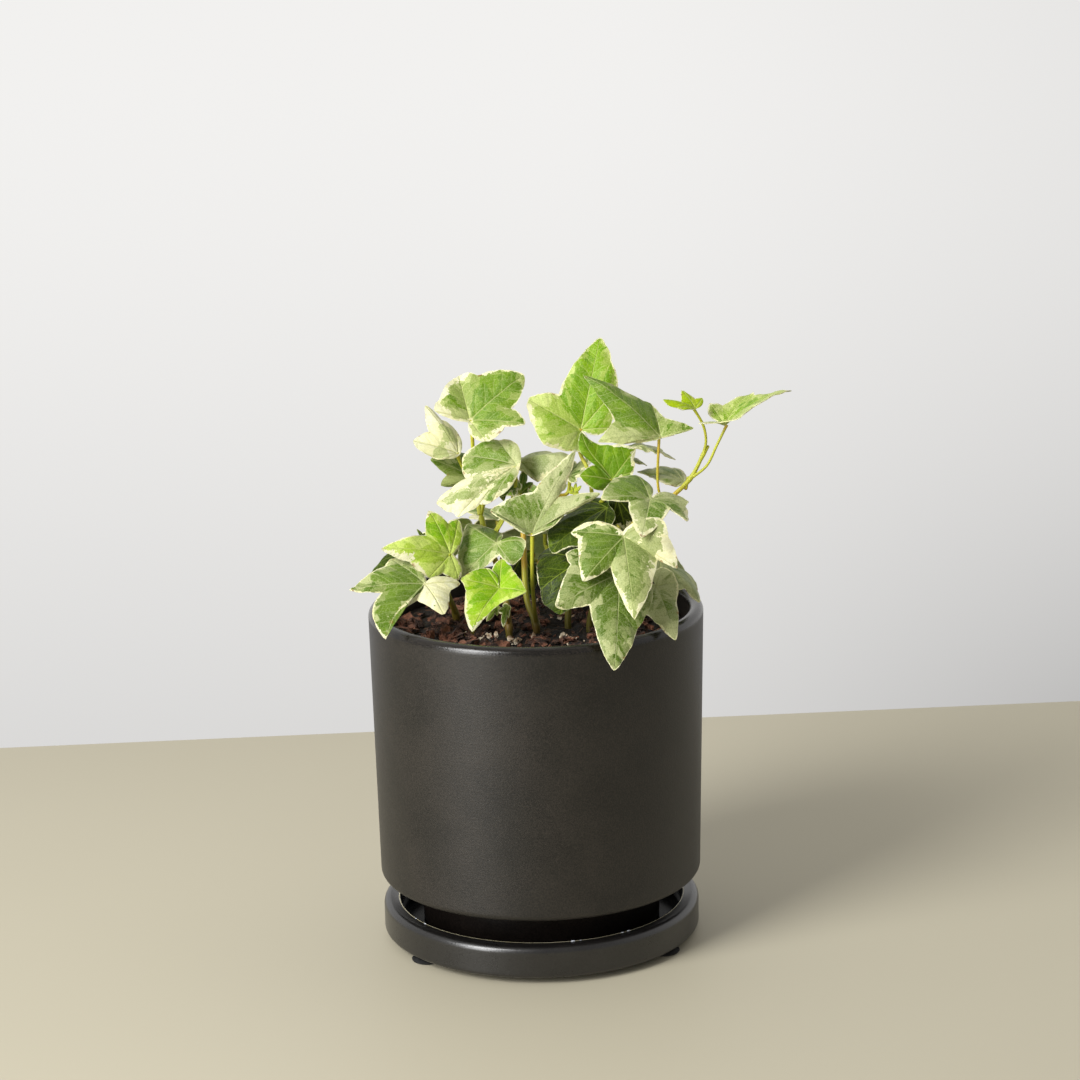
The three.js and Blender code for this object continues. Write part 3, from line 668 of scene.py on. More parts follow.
white_rock, tree, place = new_finish("white_rock")
stain = Wire.node(tree, "TexNoise", {}, {"Vector": place, "Scale": 500, "Detail": 3})
shade = stain.rise(0.36, 0.66).blend(colour(226, 214, 190), colour(146, 120, 94))
end_finish(tree, shade, 0.85 + stain * 0.1, stain, depth=0.3)

for heap, finish in ((chips, bark), (grains, white_rock), (fibres, bark)):
    heap.data.materials.clear()
    heap.data.materials.append(finish)
    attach(heap, "root")

# Leafy stems
# Each stem is one grown piece: a vine that stands in the soil, with a stalk for each leaf. The points, in
# mm, are those of the solids. A leaf grows from a node of the vine and has a junction with its stalk, the
# tips of its lobes (left base, left, middle, right, right base) and the notches between them. It may bulge,
# its lobes may curl sideways or be blunt, and its stalk may pass through given points. Its looks are the
# width of its cream margin, how lime its green is (above 1, lime is a young yellow green), how much of it
# is sage, and how dark it is: partly a deeper green, partly painted shade for leaves in the shade of
# others.
VINE_RADIUS = 1.4
VINE_TAPER = 0.28
VINE_TIP_RADIUS = 0.4
JOINT_SWELL = 0.28
JOINT_REACH = 1.6
STALK_RADIUS = 0.8
SMALL_STALK = 0.6
STALK_BASE_SWELL = 0.45
STALK_TIP_SWELL = 0.25
STALK_WAIST = 0.12
STEMS = (
    dict(
        name="left",
        root=(-30, 3),
        vine=((-30, 3, 121), (-33, -1, 130), (-37, -3, 138)),
        leaves=(
            dict(
                node=1, at=(-31, -12, 148), bulge=0.13, bases=(0.4, 0.35),
                tips=((-28, -16, 139), (-39, -20, 141), (-56, -20, 153), (-39, -4, 163), (-28, -2, 159)),
                notches=((-34, -17, 142), (-46, -19, 147), (-40, -11, 155), (-32, -5, 158)),
                blunt=(0.3, 0.4, 0.2, 1, 1),
                cream=(1.0, 1.6, 2.2, 0.9, 0.7), lime=0.95, deep=0.0, sage=(0.8, 0.8, 0.95, 0.4, 0.5),
            ),
            dict(
                node=0, at=(-40, -24, 140), bulge=0.08, curls=(0, 0, -0.33, 0, 0), bases=(0.4, 0.4),
                tips=((-27, -20, 139), (-33, -34, 131), (-54, -42, 124), (-68, -28, 139), (-53, -14, 147)),
                notches=((-31, -24, 137), (-43, -29, 135), (-56, -28, 138), (-55, -17, 145)),
                cream=(20, 9, 0.6, 0.35, 0.6), lime=0.1, deep=0.15, sage=(0.5, 0.35, 0.12, 0.4, 0.6),
            ),
            dict(
                node=2, at=(-48, -4, 144), bulge=0.05,
                tips=((-50, -8, 141), (-54, -14, 141), (-61, -16, 141), (-54, -4, 147), (-51, 0, 147)),
                notches=((-52, -11, 141), (-57, -15, 141), (-58, -10, 144), (-53, -2, 147)),
                cream=0.1, lime=0.2, deep=0.8, sage=0.1,
            ),
            dict(
                node=2, at=(-39, 6, 145), bulge=0.2,
                tips=((-40, 4, 147), (-42, 5, 149), (-44, 8, 153), (-40, 10, 151), (-38, 9, 148)),
                cream=0.1, lime=0.3, deep=0.55, sage=0.0,
            ),
        ),
    ),
    dict(
        name="mid_left",
        root=(-10, -16),
        vine=((-10, -16, 121), (-12, -8, 136), (-17, 3, 148), (-20, 9, 158)),
        leaves=(
            dict(
                node=3, via=((-22, 14, 176),), at=(-23, 8, 194), bulge=0.18, bases=(0.15, 0.5),
                tips=((-36, 6, 198), (-27, 18, 209), (-2, 14, 210), (-2, 4, 193), (-17, 2, 187)),
                notches=((-34, 10, 202), (-20, 17, 209), (-7, 8, 198), (-10, 4, 192)),
                blunt=(0.3, 1, 1, 0.5, 0.5),
                cream=(4.5, 2.2, 0.5, 0.4, 2), lime=0.35, deep=0.15, sage=(0.78, 0.74, 0.36, 0.32, 0.85),
            ),
            dict(
                node=3, at=(-28, 20, 179), bulge=0.12, bases=(0.3, 0.3),
                tips=((-32, 16, 178), (-38, 16, 179), (-45, 20, 184), (-40, 26, 197), (-29, 26, 187)),
                notches=((-35, 15, 178), (-42, 17, 181), (-39, 22, 187), (-34, 25, 191)),
                cream=(5, 5, 7, 7, 5), lime=0.2, deep=0.0, sage=1.4,
            ),
            dict(
                node=3, at=(-21, 26, 167), bulge=0.15,
                tips=((-28, 22, 164), (-35, 18, 167), (-39, 24, 176), (-25, 34, 176), (-16, 32, 171)),
                notches=((-29, 22, 166), (-33, 22, 170), (-31, 29, 176), (-21, 31, 172)),
                cream=0.12, lime=0.2, deep=0.45, sage=(0.1, 0.6, 0.3, 0.1, 0.1),
            ),
            dict(
                node=2, via=((-7, 1, 168),), at=(-6, 2, 178), bulge=0.15, bases=(0.3, 0.6),
                tips=((-15, -8, 167), (-28, -8, 161), (-36, -4, 165), (-26, 10, 180), (-13, 10, 186)),
                notches=((-20, -7, 165), (-30, -7, 163), (-25, 2, 173), (-21, 11, 184)),
                cream=(1.5, 7, 8.5, 0.8, 0.5), lime=0.1, deep=0.0, sage=(0.55, 1.05, 1.2, 0.5, 0.5),
            ),
            dict(
                node=1, at=(-14, -8, 151), bulge=0.12, bases=(0.3, 0.3),
                tips=((-3, -12, 153), (-8, -14, 144), (-27, -8, 137), (-25, 2, 156), (-12, 2, 152)),
                notches=((-4, -14, 148), (-13, -11, 147), (-28, -3, 145), (-18, 4, 154)),
                cream=(0.3, 0.3, 0.6, 0.5, 0.4), lime=0.15, deep=0.1, sage=(0.5, 0.45, 0.6, 0.3, 0.4),
            ),
            dict(
                node=3, at=(-12, 14, 172),
                tips=((-9, 8, 168), (-11, 4, 164), (-18, 6, 163), (-20, 14, 169), (-16, 20, 173)),
                cream=0.1, lime=0.1, deep=0.7, sage=0.3,
            ),
            dict(
                node=2, via=((-11, 1, 158), (-8, 1, 166)), at=(-6, 4, 171),
                tips=((-5, 0, 169), (-7, -4, 167), (-12, -2, 167), (-11, 4, 170), (-8, 7, 172)),
                cream=0.5, lime=0.5, deep=0.4, sage=0.1,
            ),
            dict(
                node=0, at=(-10, -19, 130),
                tips=((-9, -20, 129), (-10, -22, 126), (-12, -24, 123), (-14, -20, 128), (-12, -17, 130)),
                cream=0.5, lime=0.5, deep=0.6, sage=0.3,
            ),
            dict(
                node=0, at=(-14, -22, 131),
                tips=((-13, -24, 130), (-14, -26, 128), (-18, -30, 127), (-18, -26, 131), (-16, -22, 132)),
                cream=0.4, lime=0.9, deep=0.2, sage=0.1,
            ),
        ),
    ),
    dict(
        name="low_front",
        root=(-23, -16),
        vine=((-23, -16, 120), (-20, -20, 128)),
        leaves=(
            dict(
                node=1, at=(-13, -28, 139), bulge=0.06, curls=(0, 0, -0.12, 0, 0), bases=(0.5, 0.45),
                tips=((-12, -16, 147), (-3, -34, 139), (-23, -42, 126), (-27, -30, 143), (-18, -24, 146)),
                notches=((-7, -25, 143), (-13, -35, 135), (-25, -32, 139), (-22, -26, 145)),
                cream=(0.3, 0.4, 0.8, 0.9, 0.3), lime=1.0, deep=0.0, sage=(0.3, 0.6, 0.35, 0.6, 0.3),
            ),
        ),
    ),
    dict(
        name="centre",
        root=(0, -10),
        vine=((0, -10, 120), (-3, -7, 128), (-4, -1, 145), (-4, 5, 158)),
        leaves=(
            dict(
                node=0, via=((-1, -16, 138),), at=(-1, -20, 157), bulge=0.1, bases=(0.1, 0.12),
                tips=((-11, -22, 163), (-16, -18, 166), (16, -6, 185), (25, -20, 172), (8, -22, 161)),
                notches=((-13, -21, 164), (0, -14, 171), (9, -15, 169), (11, -20, 164)),
                cream=(0.5, 1.2, 0.6, 0.3, 0.3), lime=0.0, deep=0.12, sage=(0.4, 0.5, 0.8, 0.75, 0.4),
            ),
            dict(
                node=3, at=(-5, 14, 177), bulge=0.1,
                tips=((-2, 20, 177), (3, 22, 179), (15, 8, 180), (2, 8, 170), (-3, 8, 174)),
                notches=((0, 21, 178), (8, 15, 179), (9, 7, 173), (-1, 7, 172)),
                cream=(1.2, 0.8, 1.2, 1.2, 1.0), lime=0.0, deep=0.0, sage=0.85,
            ),
            dict(
                node=3, at=(-5, 6, 166),
                tips=((-7, 8, 167), (-7, 11, 170), (-3, 16, 174), (0, 12, 169), (-1, 8, 166)),
                cream=0.5, lime=0.6, deep=0.4, sage=0.0,
            ),
            dict(
                node=3, at=(13, 12, 171),
                tips=((12, 16, 173), (15, 18, 176), (23, 12, 179), (21, 6, 174), (16, 8, 170)),
                cream=0.8, lime=0.1, deep=0.3, sage=0.5,
            ),
            dict(
                node=3, at=(15, 10, 165),
                tips=((13, 10, 166), (14, 10, 168), (16, 11, 169), (18, 10, 168), (17, 10, 165)),
                cream=0.1, lime=2.0, deep=0.0, sage=0.0,
            ),
        ),
    ),
    dict(
        name="tall",
        root=(12, -2),
        vine=((12, -2, 121), (14, 0, 138), (19, 1, 152), (22, 2, 162)),
        leaves=(
            dict(
                node=3, at=(18, 6, 190), bulge=0.13, bases=(0.4, 0.4),
                tips=((20, 4, 182), (-2, 8, 202), (26, 18, 223), (32, 9, 205), (29, 4, 191)),
                notches=((4, 0, 186), (10, 9, 203), (30, 13, 214), (30, 6, 197)),
                blunt=(0.6, 1, 0.4, 0.4, 0.4),
                cream=(1.4, 1.8, 0.3, 0.5, 0.4), lime=0.62, deep=0.0, sage=(0.8, 0.95, 0.4, 0.42, 0.42),
            ),
            dict(
                node=3, via=((26, -4, 166),), at=(29, -4, 173), bulge=0.15, curls=(0, 0, 0.4, 0, 0),
                tips=((26, -8, 170), (17, -8, 176), (18, 3, 190), (38, 0, 184), (37, -4, 176)),
                notches=((22, -10, 171), (23, -3, 179), (29, 1, 185), (37, -2, 180)),
                cream=(0.2, 0.3, 0.2, 1.5, 1.8), lime=0.8, deep=0.35, sage=0.05,
            ),
            dict(
                node=2, at=(27, -6, 163), bulge=0.12,
                tips=((26, -16, 157), (17, -25, 154), (6, -21, 150), (12, -7, 161), (19, 2, 164)),
                notches=((22, -21, 155), (12, -25, 152), (5, -13, 156), (15, -3, 162)),
                cream=(0.2, 0.2, 0.3, 0.2, 0.3), lime=0.4, deep=0.95, sage=0.1,
            ),
            dict(
                node=2, at=(31, 2, 165), bulge=0.1,
                tips=((36, 3, 164), (37, 1, 157), (34, 0, 153), (29, 1, 155), (28, 3, 164)),
                notches=((36, 2, 161), (36, 1, 155), (31, 1, 155), (28, 2, 160)),
                cream=(0.1, 0.3, 1.4, 0.1, 0.1), lime=0.3, deep=1.0, sage=0.05,
            ),
            dict(
                node=1, via=((6, 6, 139),), at=(-5, 4, 143), bulge=0.1,
                tips=((0, 6, 144), (1, 2, 134), (-3, 0, 128), (-9, 2, 135), (-10, 6, 144)),
                notches=((0, 4, 140), (0, 1, 131), (-6, 1, 132), (-8, 4, 140)),
                cream=0.15, lime=0.3, deep=1.0, sage=0.05,
            ),
        ),
    ),
    dict(
        name="right",
        root=(20, -10),
        vine=((20, -10, 121), (23, -13, 132), (28, -18, 144), (33, -24, 154)),
        leaves=(
            dict(
                node=3, at=(32, -42, 161), bulge=0.1, bases=(0.3, 0.4),
                tips=((46, -40, 167), (51, -48, 150), (35, -58, 134), (17, -52, 147), (13, -38, 162)),
                notches=((48, -43, 160), (44, -46, 153), (27, -48, 151), (16, -41, 160)),
                blunt=(0.5, 0.3, 0.15, 0.3, 1),
                cream=(1.4, 7, 1.3, 1.0, 1.4), lime=0.12, deep=0.34, sage=(1.1, 1.3, 0.95, 0.24, 0.2),
            ),
            dict(
                node=2, at=(30, -42, 147), bulge=0.1,
                tips=((42, -46, 141), (39, -52, 134), (27, -67, 117), (7, -56, 139), (11, -40, 155)),
                notches=((41, -49, 137), (36, -55, 130), (19, -52, 138), (13, -43, 151)),
                cream=(0.2, 0.2, 0.3, 0.7, 0.3), lime=0.0, deep=0.27, sage=(0.5, 0.5, 0.54, 0.5, 0.46),
            ),
            dict(
                node=3, at=(42, -28, 171), bulge=0.12, bases=(0.45, 0.4),
                tips=((56, -20, 169), (55, -36, 164), (38, -48, 161), (24, -34, 173), (38, -15, 177)),
                notches=((55, -26, 167), (49, -34, 169), (34, -32, 171), (30, -21, 177)),
                cream=(0.9, 1.3, 1.2, 0.3, 0.3), lime=0.1, deep=0.1, sage=(0.85, 0.8, 0.7, 0.45, 0.5),
            ),
            dict(
                node=1, at=(18, -20, 147), bulge=0.1,
                tips=((21, -24, 137), (9, -28, 128), (2, -24, 137), (2, -6, 146), (12, -4, 150)),
                notches=((16, -26, 133), (3, -26, 132), (1, -14, 142), (6, -3, 148)),
                cream=(0.1, 0.1, 0.3, 0.1, 0.1), lime=0.3, deep=1.0, sage=0.05,
            ),
        ),
    ),
    dict(
        name="sprig",
        root=(30, 6),
        taper=0.6,
        slim=0.7,
        vine=(
            (30, 6, 121), (33, 4, 140), (40, 0, 154), (48, -2, 163),
            (58, 0, 172), (63, 1, 181), (65, 2, 184),
        ),
        leaves=(
            dict(
                node=3, via=((46, -4, 170),), at=(47, -6, 189), bulge=0, bases=(0.1, 0.08),
                tips=((39, -10, 188), (24, -14, 190), (19, -2, 213), (44, 4, 200), (60, -4, 192)),
                notches=((32, -13, 188), (30, -8, 196), (41, 3, 201), (49, -1, 195)),
                cream=(0.4, 0.7, 0.2, 0.5, 0.6), lime=0.25, deep=0.0, sage=(0.75, 0.7, 0.3, 0.4, 0.6),
            ),
            dict(
                node=5, via=((64, 1, 186), (63, 0, 192)), at=(60, -2, 199), bulge=0.1, bases=(0.1, 0.4),
                tips=((57, -5, 199), (53, -6, 200), (48, -4, 203), (55, 2, 205), (63, 2, 202)),
                notches=((55, -6, 199), (50, -6, 201), (55, -2, 201), (60, 1, 202)),
                cream=0.25, lime=1.5, deep=0.0, sage=0.3,
            ),
            dict(
                node=4, via=((64, -1, 177), (68, -1, 185)), at=(71, 0, 192), bulge=0.1, bases=(0.5, 0.1),
                tips=((66, 10, 198), (82, 14, 201), (96, 2, 205), (76, -12, 197), (60, -10, 195)),
                notches=((71, 9, 197), (83, 8, 200), (80, -9, 199), (69, -8, 194)),
                cream=(0.6, 0.6, 0.3, 0.7, 0.8), lime=0.6, deep=0.0, sage=(0.8, 0.9, 0.75, 1.05, 1.1),
            ),
            dict(
                node=2, at=(36, 16, 181), bulge=0.05, bases=(0.1, 0.1),
                tips=((38, 24, 180), (45, 28, 178), (53, 6, 178), (45, -4, 183), (40, 6, 182)),
                notches=((42, 29, 179), (49, 17, 178), (49, 1, 180), (43, 1, 182)),
                cream=0.5, lime=0.0, deep=0.15, sage=0.75,
            ),
            dict(
                node=2, at=(30, 22, 176), bulge=0.05, bases=(0.1, 0.1),
                tips=((32, 28, 177), (37, 32, 173), (43, 16, 174), (37, 8, 177), (32, 14, 176)),
                notches=((35, 30, 175), (40, 23, 174), (40, 12, 175), (34, 10, 176)),
                cream=0.5, lime=0.0, deep=0.15, sage=0.75,
            ),
            dict(
                node=4, at=(56, 8, 169), bulge=0.1, bases=(0.1, 0.2),
                tips=((53, 4, 168), (46, 4, 171), (39, 18, 171), (49, 26, 171), (55, 21, 171)),
                notches=((49, 3, 169), (43, 12, 171), (45, 20, 171), (52, 23, 171)),
                cream=(0.5, 0.6, 0.7, 1.2, 1.2), lime=0.05, deep=0.1, sage=0.8,
            ),
        ),
    ),
    dict(
        name="low_right",
        root=(36, -12),
        vine=((36, -12, 120), (39, -14, 129)),
        leaves=(
            dict(
                node=1, at=(44, -26, 138), bulge=0.1,
                tips=((47, -20, 144), (52, -26, 139), (50, -48, 124), (39, -36, 131), (38, -28, 139)),
                notches=((50, -23, 142), (51, -33, 134), (42, -40, 129), (36, -33, 135)),
                cream=(0.4, 0.5, 0.5, 0.3, 0.3), lime=0.0, deep=0.12, sage=0.75,
            ),
            dict(
                node=1, at=(46, -8, 143), bulge=0.1,
                tips=((50, -2, 150), (56, 2, 135), (60, -24, 131), (50, -24, 136), (45, -16, 140)),
                notches=((52, -1, 143), (58, -2, 134), (54, -21, 135), (47, -21, 138)),
                cream=(0.5, 0.5, 0.5, 0.3, 0.3), lime=0.0, deep=0.22, sage=0.85,
            ),
        ),
    ),
    dict(
        name="back_left",
        root=(-24, 26),
        vine=((-24, 26, 120), (-26, 27, 130), (-24, 29, 140)),
        leaves=(
            dict(
                node=1, at=(-36, 32, 140), heading=138, pitch=-25, size=28,
                cream=(1.2, 0.8, 1.0, 2.5, 1.2), lime=0.2, deep=0.15, sage=0.5,
            ),
            dict(
                node=2, at=(-24, 42, 145), heading=118, pitch=-35, size=30,
                cream=(0.8, 0.8, 0.9, 0.8, 0.8), lime=0.35, deep=0.1, sage=0.35,
            ),
            dict(
                node=2, at=(-14, 32, 150), heading=78, pitch=0, size=27,
                cream=(3.0, 1.2, 0.8, 0.8, 1.5), lime=0.1, deep=0.25, sage=0.6,
            ),
        ),
    ),
    dict(
        name="back",
        root=(4, 36),
        vine=((4, 36, 120), (5, 37, 132), (8, 36, 146)),
        leaves=(
            dict(
                node=1, at=(4, 50, 140), heading=90, pitch=-40, size=34,
                cream=(0.9, 1.0, 0.8, 1.2, 0.9), lime=0.1, deep=0.2, sage=0.6,
            ),
            dict(
                node=2, at=(20, 46, 147), heading=62, pitch=-15, size=31,
                cream=(1.5, 4.0, 1.2, 0.8, 1.0), lime=0.2, deep=0.1, sage=0.5,
            ),
            dict(
                node=2, at=(2, 36, 157), heading=110, pitch=5, size=24,
                cream=(0.8, 0.8, 0.6, 0.8, 0.8), lime=0.7, deep=0.0, sage=0.25,
            ),
        ),
    ),
    dict(
        name="back_right",
        root=(28, 26),
        vine=((28, 26, 120), (32, 28, 132), (32, 30, 146)),
        leaves=(
            dict(
                node=1, at=(36, 36, 144), heading=100, pitch=-30, size=27,
                cream=(0.8, 0.8, 1.0, 3.0, 2.0), lime=0.05, deep=0.3, sage=0.6,
            ),
            dict(
                node=1, at=(38, 22, 138), heading=60, pitch=-40, size=20,
                cream=0.7, lime=0.15, deep=0.35, sage=0.5,
            ),
            dict(
                node=2, at=(33, 33, 152), heading=85, pitch=5, size=24,
                cream=(1.2, 1.0, 0.9, 1.0, 1.2), lime=0.5, deep=0.05, sage=0.3,
            ),
        ),
    ),
)

# Edges of a blade, as on the solids: each stretch is a curve with one bend, and a bulge is a share of its
# length. A leaf given by size has lobes at these angles, lengths and lifts. Waves and fine teeth then
# ruffle the edge, and the blade arches, folds a little along each vein and waves.
EDGE_BULGE = 0.2
BASE_BULGE = 0.5
BASE_NOTCH = 0.05
PLAIN_NOTCH = 0.58
PLAIN_LOBES = ((118, 0.42, 0.06), (58, 0.74, 0.1), (0, 1, -0.08), (-58, 0.74, 0.1), (-118, 0.42, 0.06))
SMALL_LEAF = 12
LARGE_LEAF = 26
NO_CURLS = (0, 0, 0, 0, 0)
CURL_BOW = 0.22
PLAIN_BLUNTNESS = (0.35, 0.35, 0.2, 0.35, 0.35)
EDGE_WAVE = 0.5
EDGE_WAVE_LENGTH = 3.4
EDGE_TEETH = 0.24
EDGE_TOOTH_LENGTH = 1.3
ARCH = 0.08
FACE_WAVE = 0.07
FACE_WAVE_LENGTH = 7
FACE_RIPPLE = 0.022
FACE_RIPPLE_LENGTH = 3
FOLD_HEIGHT = 1.4
FOLD_WIDTH = 6
LEAF_THICKNESS = 0.35
RINGS = (0.09, 0.18, 0.27, 0.36, 0.45, 0.54, 0.63, 0.71, 0.79, 0.86, 0.92, 0.965, 1)
SMALL_RINGS = (0.2, 0.4, 0.6, 0.8, 0.93, 1)
FINE_STEPS = 60
EDGE_EVERY = 4
SMALL_EDGE_EVERY = 10
TIP_WINDOW = 9


def lobe_tips(leaf):
    """The vectors from a leaf's junction to the tips of its lobes, clockwise on its upper face."""
    if "tips" in leaf:
        return [Vector(tip) - Vector(leaf["at"]) for tip in leaf["tips"]]
    pitch, heading = math.radians(leaf["pitch"]), math.radians(leaf["heading"])
    turn = Euler((0, -pitch, heading), "XYZ").to_matrix()
    tips = []
    for angle, length, lift in PLAIN_LOBES:
        along = length * math.cos(math.radians(angle))
        across = length * math.sin(math.radians(angle))
        tips.append(turn @ Vector((along, across, lift)) * leaf["size"])
    return tips


def lobe_notches(leaf, veins):
    if "notches" in leaf:
        return [Vector(notch) - Vector(leaf["at"]) for notch in leaf["notches"]]
    notches = []
    for vein, following in zip(veins, veins[1:]):
        reach = PLAIN_NOTCH * 0.5 * (vein.length + following.length)
        notches.append((vein.normalized() + following.normalized()).normalized() * reach)
    return notches


def base_notch(veins):
    between = veins[0].normalized() + veins[4].normalized()
    behind = -veins[2].normalized()
    if between.length <= 0.3 or between.dot(behind) <= 0:
        between = behind
    return between.normalized() * BASE_NOTCH * (veins[0].length + veins[4].length)


def upper_face(veins):
    total = Vector()
    for vein, following in zip(veins, veins[1:]):
        total += following.cross(vein)
    return total.normalized()


def blade_edge(leaf, veins, face):
    """The edge as (offset from the junction, stretch, share of the stretch), clockwise from the base."""
    notches = lobe_notches(leaf, veins)
    base = base_notch(veins)
    base_left, base_right = leaf.get("bases", (BASE_BULGE, BASE_BULGE))
    curls = leaf.get("curls", NO_CURLS)
    bulge = leaf.get("bulge", EDGE_BULGE)
    stretches = [(base, veins[0], base_left)]
    for lobe, notch in enumerate(notches):
        stretches.append((veins[lobe], notch, bulge - curls[lobe]))
        stretches.append((notch, veins[lobe + 1], bulge + curls[lobe + 1]))
    stretches.append((veins[4], base, base_right))
    drawn = []
    for stretch, (start, end, swell) in enumerate(stretches):
        bend = (start + end) / 2 + face.cross(end - start) * swell
        for step in range(FINE_STEPS):
            share = step / FINE_STEPS
            spot = start * (1 - share) ** 2 + bend * 2 * share * (1 - share) + end * share ** 2
            drawn.append((spot, stretch, share))
    blunt = leaf.get("blunt", PLAIN_BLUNTNESS)
    ruffle = min(1, veins[2].length / LARGE_LEAF)
    edge = []
    for number, (spot, stretch, share) in enumerate(drawn):
        near_tip = max(0, (share if stretch % 2 == 0 else 1 - share) * 2.5 - 1.5) ** 2
        window = [drawn[(number + shift) % len(drawn)][0] for shift in range(-TIP_WINDOW, TIP_WINDOW + 1)]
        middle = sum(window, Vector()) / len(window)
        spot = spot.lerp(middle, min(1, near_tip * blunt[stretch // 2] * 2))
        grown = spot + Vector(leaf["at"])
        swell = EDGE_WAVE * noise.noise(grown / EDGE_WAVE_LENGTH)
        swell += EDGE_TEETH * noise.noise(grown / EDGE_TOOTH_LENGTH)
        edge.append((spot + spot.normalized() * swell * ruffle, stretch, share))
    return edge


def clamped(share):
    return min(1, max(0, share))


def per_lobe(value):
    return value if isinstance(value, tuple) else (value,) * 5


def lobe_value(values, stretch, share):
    """A value given for each lobe, at a place on the edge: full at the tips, and shared at the notches."""
    lobe = stretch // 2
    towards_tip = share if stretch % 2 == 0 else 1 - share
    beside = lobe - 1 if stretch % 2 == 0 else lobe + 1
    at_notch = (values[lobe] + values[beside]) / 2 if 0 <= beside <= 4 else values[lobe]
    return at_notch + (values[lobe] - at_notch) * min(1, 2.2 * towards_tip)


class Blades:
    """The upper faces of a stem's leaf blades, with what their finish reads at each corner."""

    def __init__(self):
        self.spots = []
        self.faces = []
        self.veins = []
        self.values = {name: [] for name in ("margin", "cream", "lime", "deep", "sage", "patch")}

    def add(self, leaf, patch):
        veins = lobe_tips(leaf)
        face = upper_face(veins)
        small = veins[2].length < SMALL_LEAF
        rings = SMALL_RINGS if small else RINGS
        outline = blade_edge(leaf, veins, face)
        edge = outline[:: SMALL_EDGE_EVERY if small else EDGE_EVERY]
        near = KDTree(len(outline))
        for number, (spot, _, _) in enumerate(outline):
            near.insert(spot, number)
        near.balance()
        cream, sage = per_lobe(leaf["cream"]), per_lobe(leaf["sage"])
        stature = min(1, veins[2].length / LARGE_LEAF)
        first = len(self.spots)
        flat = [(Vector(), 0, 0, 0)]
        for ring in rings:
            flat += [(spot * ring, stretch, share, ring) for spot, stretch, share in edge]
        for offset, stretch, share, ring in flat:
            reach = offset.length / ring if ring else 0
            lift = ARCH * reach * 4 * ring * (1 - ring)
            feet = [vein * clamped(offset.dot(vein) / vein.dot(vein)) for vein in veins]
            from_vein = min((offset - foot).length for foot in feet)
            lift += FOLD_HEIGHT * (1 - math.exp(-from_vein / FOLD_WIDTH)) * stature
            grown = Vector(leaf["at"]) + offset
            lift += noise.noise(grown / FACE_WAVE_LENGTH) * FACE_WAVE * reach * ring ** 2
            lift += noise.noise(grown / FACE_RIPPLE_LENGTH) * FACE_RIPPLE * reach * ring ** 3
            self.spots.append((grown + face * lift) * MM)
            self.values["margin"].append(near.find(offset)[2])
            self.values["cream"].append(lobe_value(cream, stretch, share))
            self.values["sage"].append(lobe_value(sage, stretch, share))
            self.values["lime"].append(leaf["lime"])
            self.values["deep"].append(leaf["deep"])
            self.values["patch"].append(patch)
        count = len(edge)
        curls = leaf.get("curls", NO_CURLS)

        def corner(index, lobe):
            """Where a corner lies by its lobe's vein: how far along it, and how far to the left of it."""
            offset = flat[index][0]
            vein = veins[lobe]
            along = offset.dot(vein.normalized())
            left = offset.dot(face.cross(vein).normalized())
            share = clamped(along / vein.length)
            bow = CURL_BOW * curls[lobe] * vein.length * math.sin(math.pi * share ** 1.5)
            return along, left - bow

        def add_face(indices, lobe):
            self.faces.append([first + index for index in indices])
            self.veins += [corner(index, lobe) for index in indices]

        for spot in range(count):
            after = (spot + 1) % count
            lobe = edge[spot][1] // 2
            add_face((0, 1 + after, 1 + spot), lobe)
            for ring in range(len(rings) - 1):
                inner, outer = 1 + ring * count, 1 + (ring + 1) * count
                add_face((inner + spot, inner + after, outer + after, outer + spot), lobe)

    def finish(self, name):
        """The blades as one piece, given their thickness downwards, with an underside of its own finish."""
        mesh = bpy.data.meshes.new(name)
        mesh.from_pydata(self.spots, [], self.faces)
        layer = mesh.uv_layers.new(name="veins")
        for corner, place in zip(layer.data, self.veins):
            corner.uv = place
        for key, values in self.values.items():
            mesh.attributes.new(key, "FLOAT", "POINT").data.foreach_set("value", values)
        piece = bpy.data.objects.new(name, mesh)
        bpy.context.scene.collection.objects.link(piece)
        select_only(piece)
        for finish in (leaf_upper, leaf_under, stalk_skin):
            mesh.materials.append(finish)
        bpy.ops.object.modifier_add(type="SOLIDIFY")
        thick = piece.modifiers[-1]
        thick.thickness = LEAF_THICKNESS * MM
        thick.offset = -1
        thick.material_offset = 1
        thick.material_offset_rim = 0
        bpy.ops.object.modifier_apply(modifier=thick.name)
        bpy.ops.object.shade_smooth_by_angle(angle=math.radians(50))
        return piece


def smooth_path(points, steps):
    """A centripetal curve through the points, as many short straight steps."""
    knots = [Vector(point) for point in points]
    knots = [knots[0] * 2 - knots[1], *knots, knots[-1] * 2 - knots[-2]]
    path = []
    for index in range(1, len(knots) - 2):
        before, start, end, after = knots[index - 1 : index + 3]
        gaps = [math.sqrt((b - a).length) for a, b in ((before, start), (start, end), (end, after))]
        first = (start - before) / gaps[0] - (end - before) / (gaps[0] + gaps[1]) + (end - start) / gaps[1]
        last = (end - start) / gaps[1] - (after - start) / (gaps[1] + gaps[2]) + (after - end) / gaps[2]
        first, last = first * gaps[1], last * gaps[1]
        for step in range(steps):
            share = step / steps
            cube, square = share ** 3, share ** 2
            path.append(
                start * (2 * cube - 3 * square + 1)
                + first * (cube - 2 * square + share)
                + end * (3 * square - 2 * cube)
                + last * (cube - square)
            )
    path.append(knots[-2])
    return path


def add_cane(curve, path, radii):
    spline = curve.splines.new("POLY")
    spline.points.add(len(path) - 1)
    for point, spot, radius in zip(spline.points, path, radii):
        point.co = (*(spot * MM), 1)
        point.radius = radius


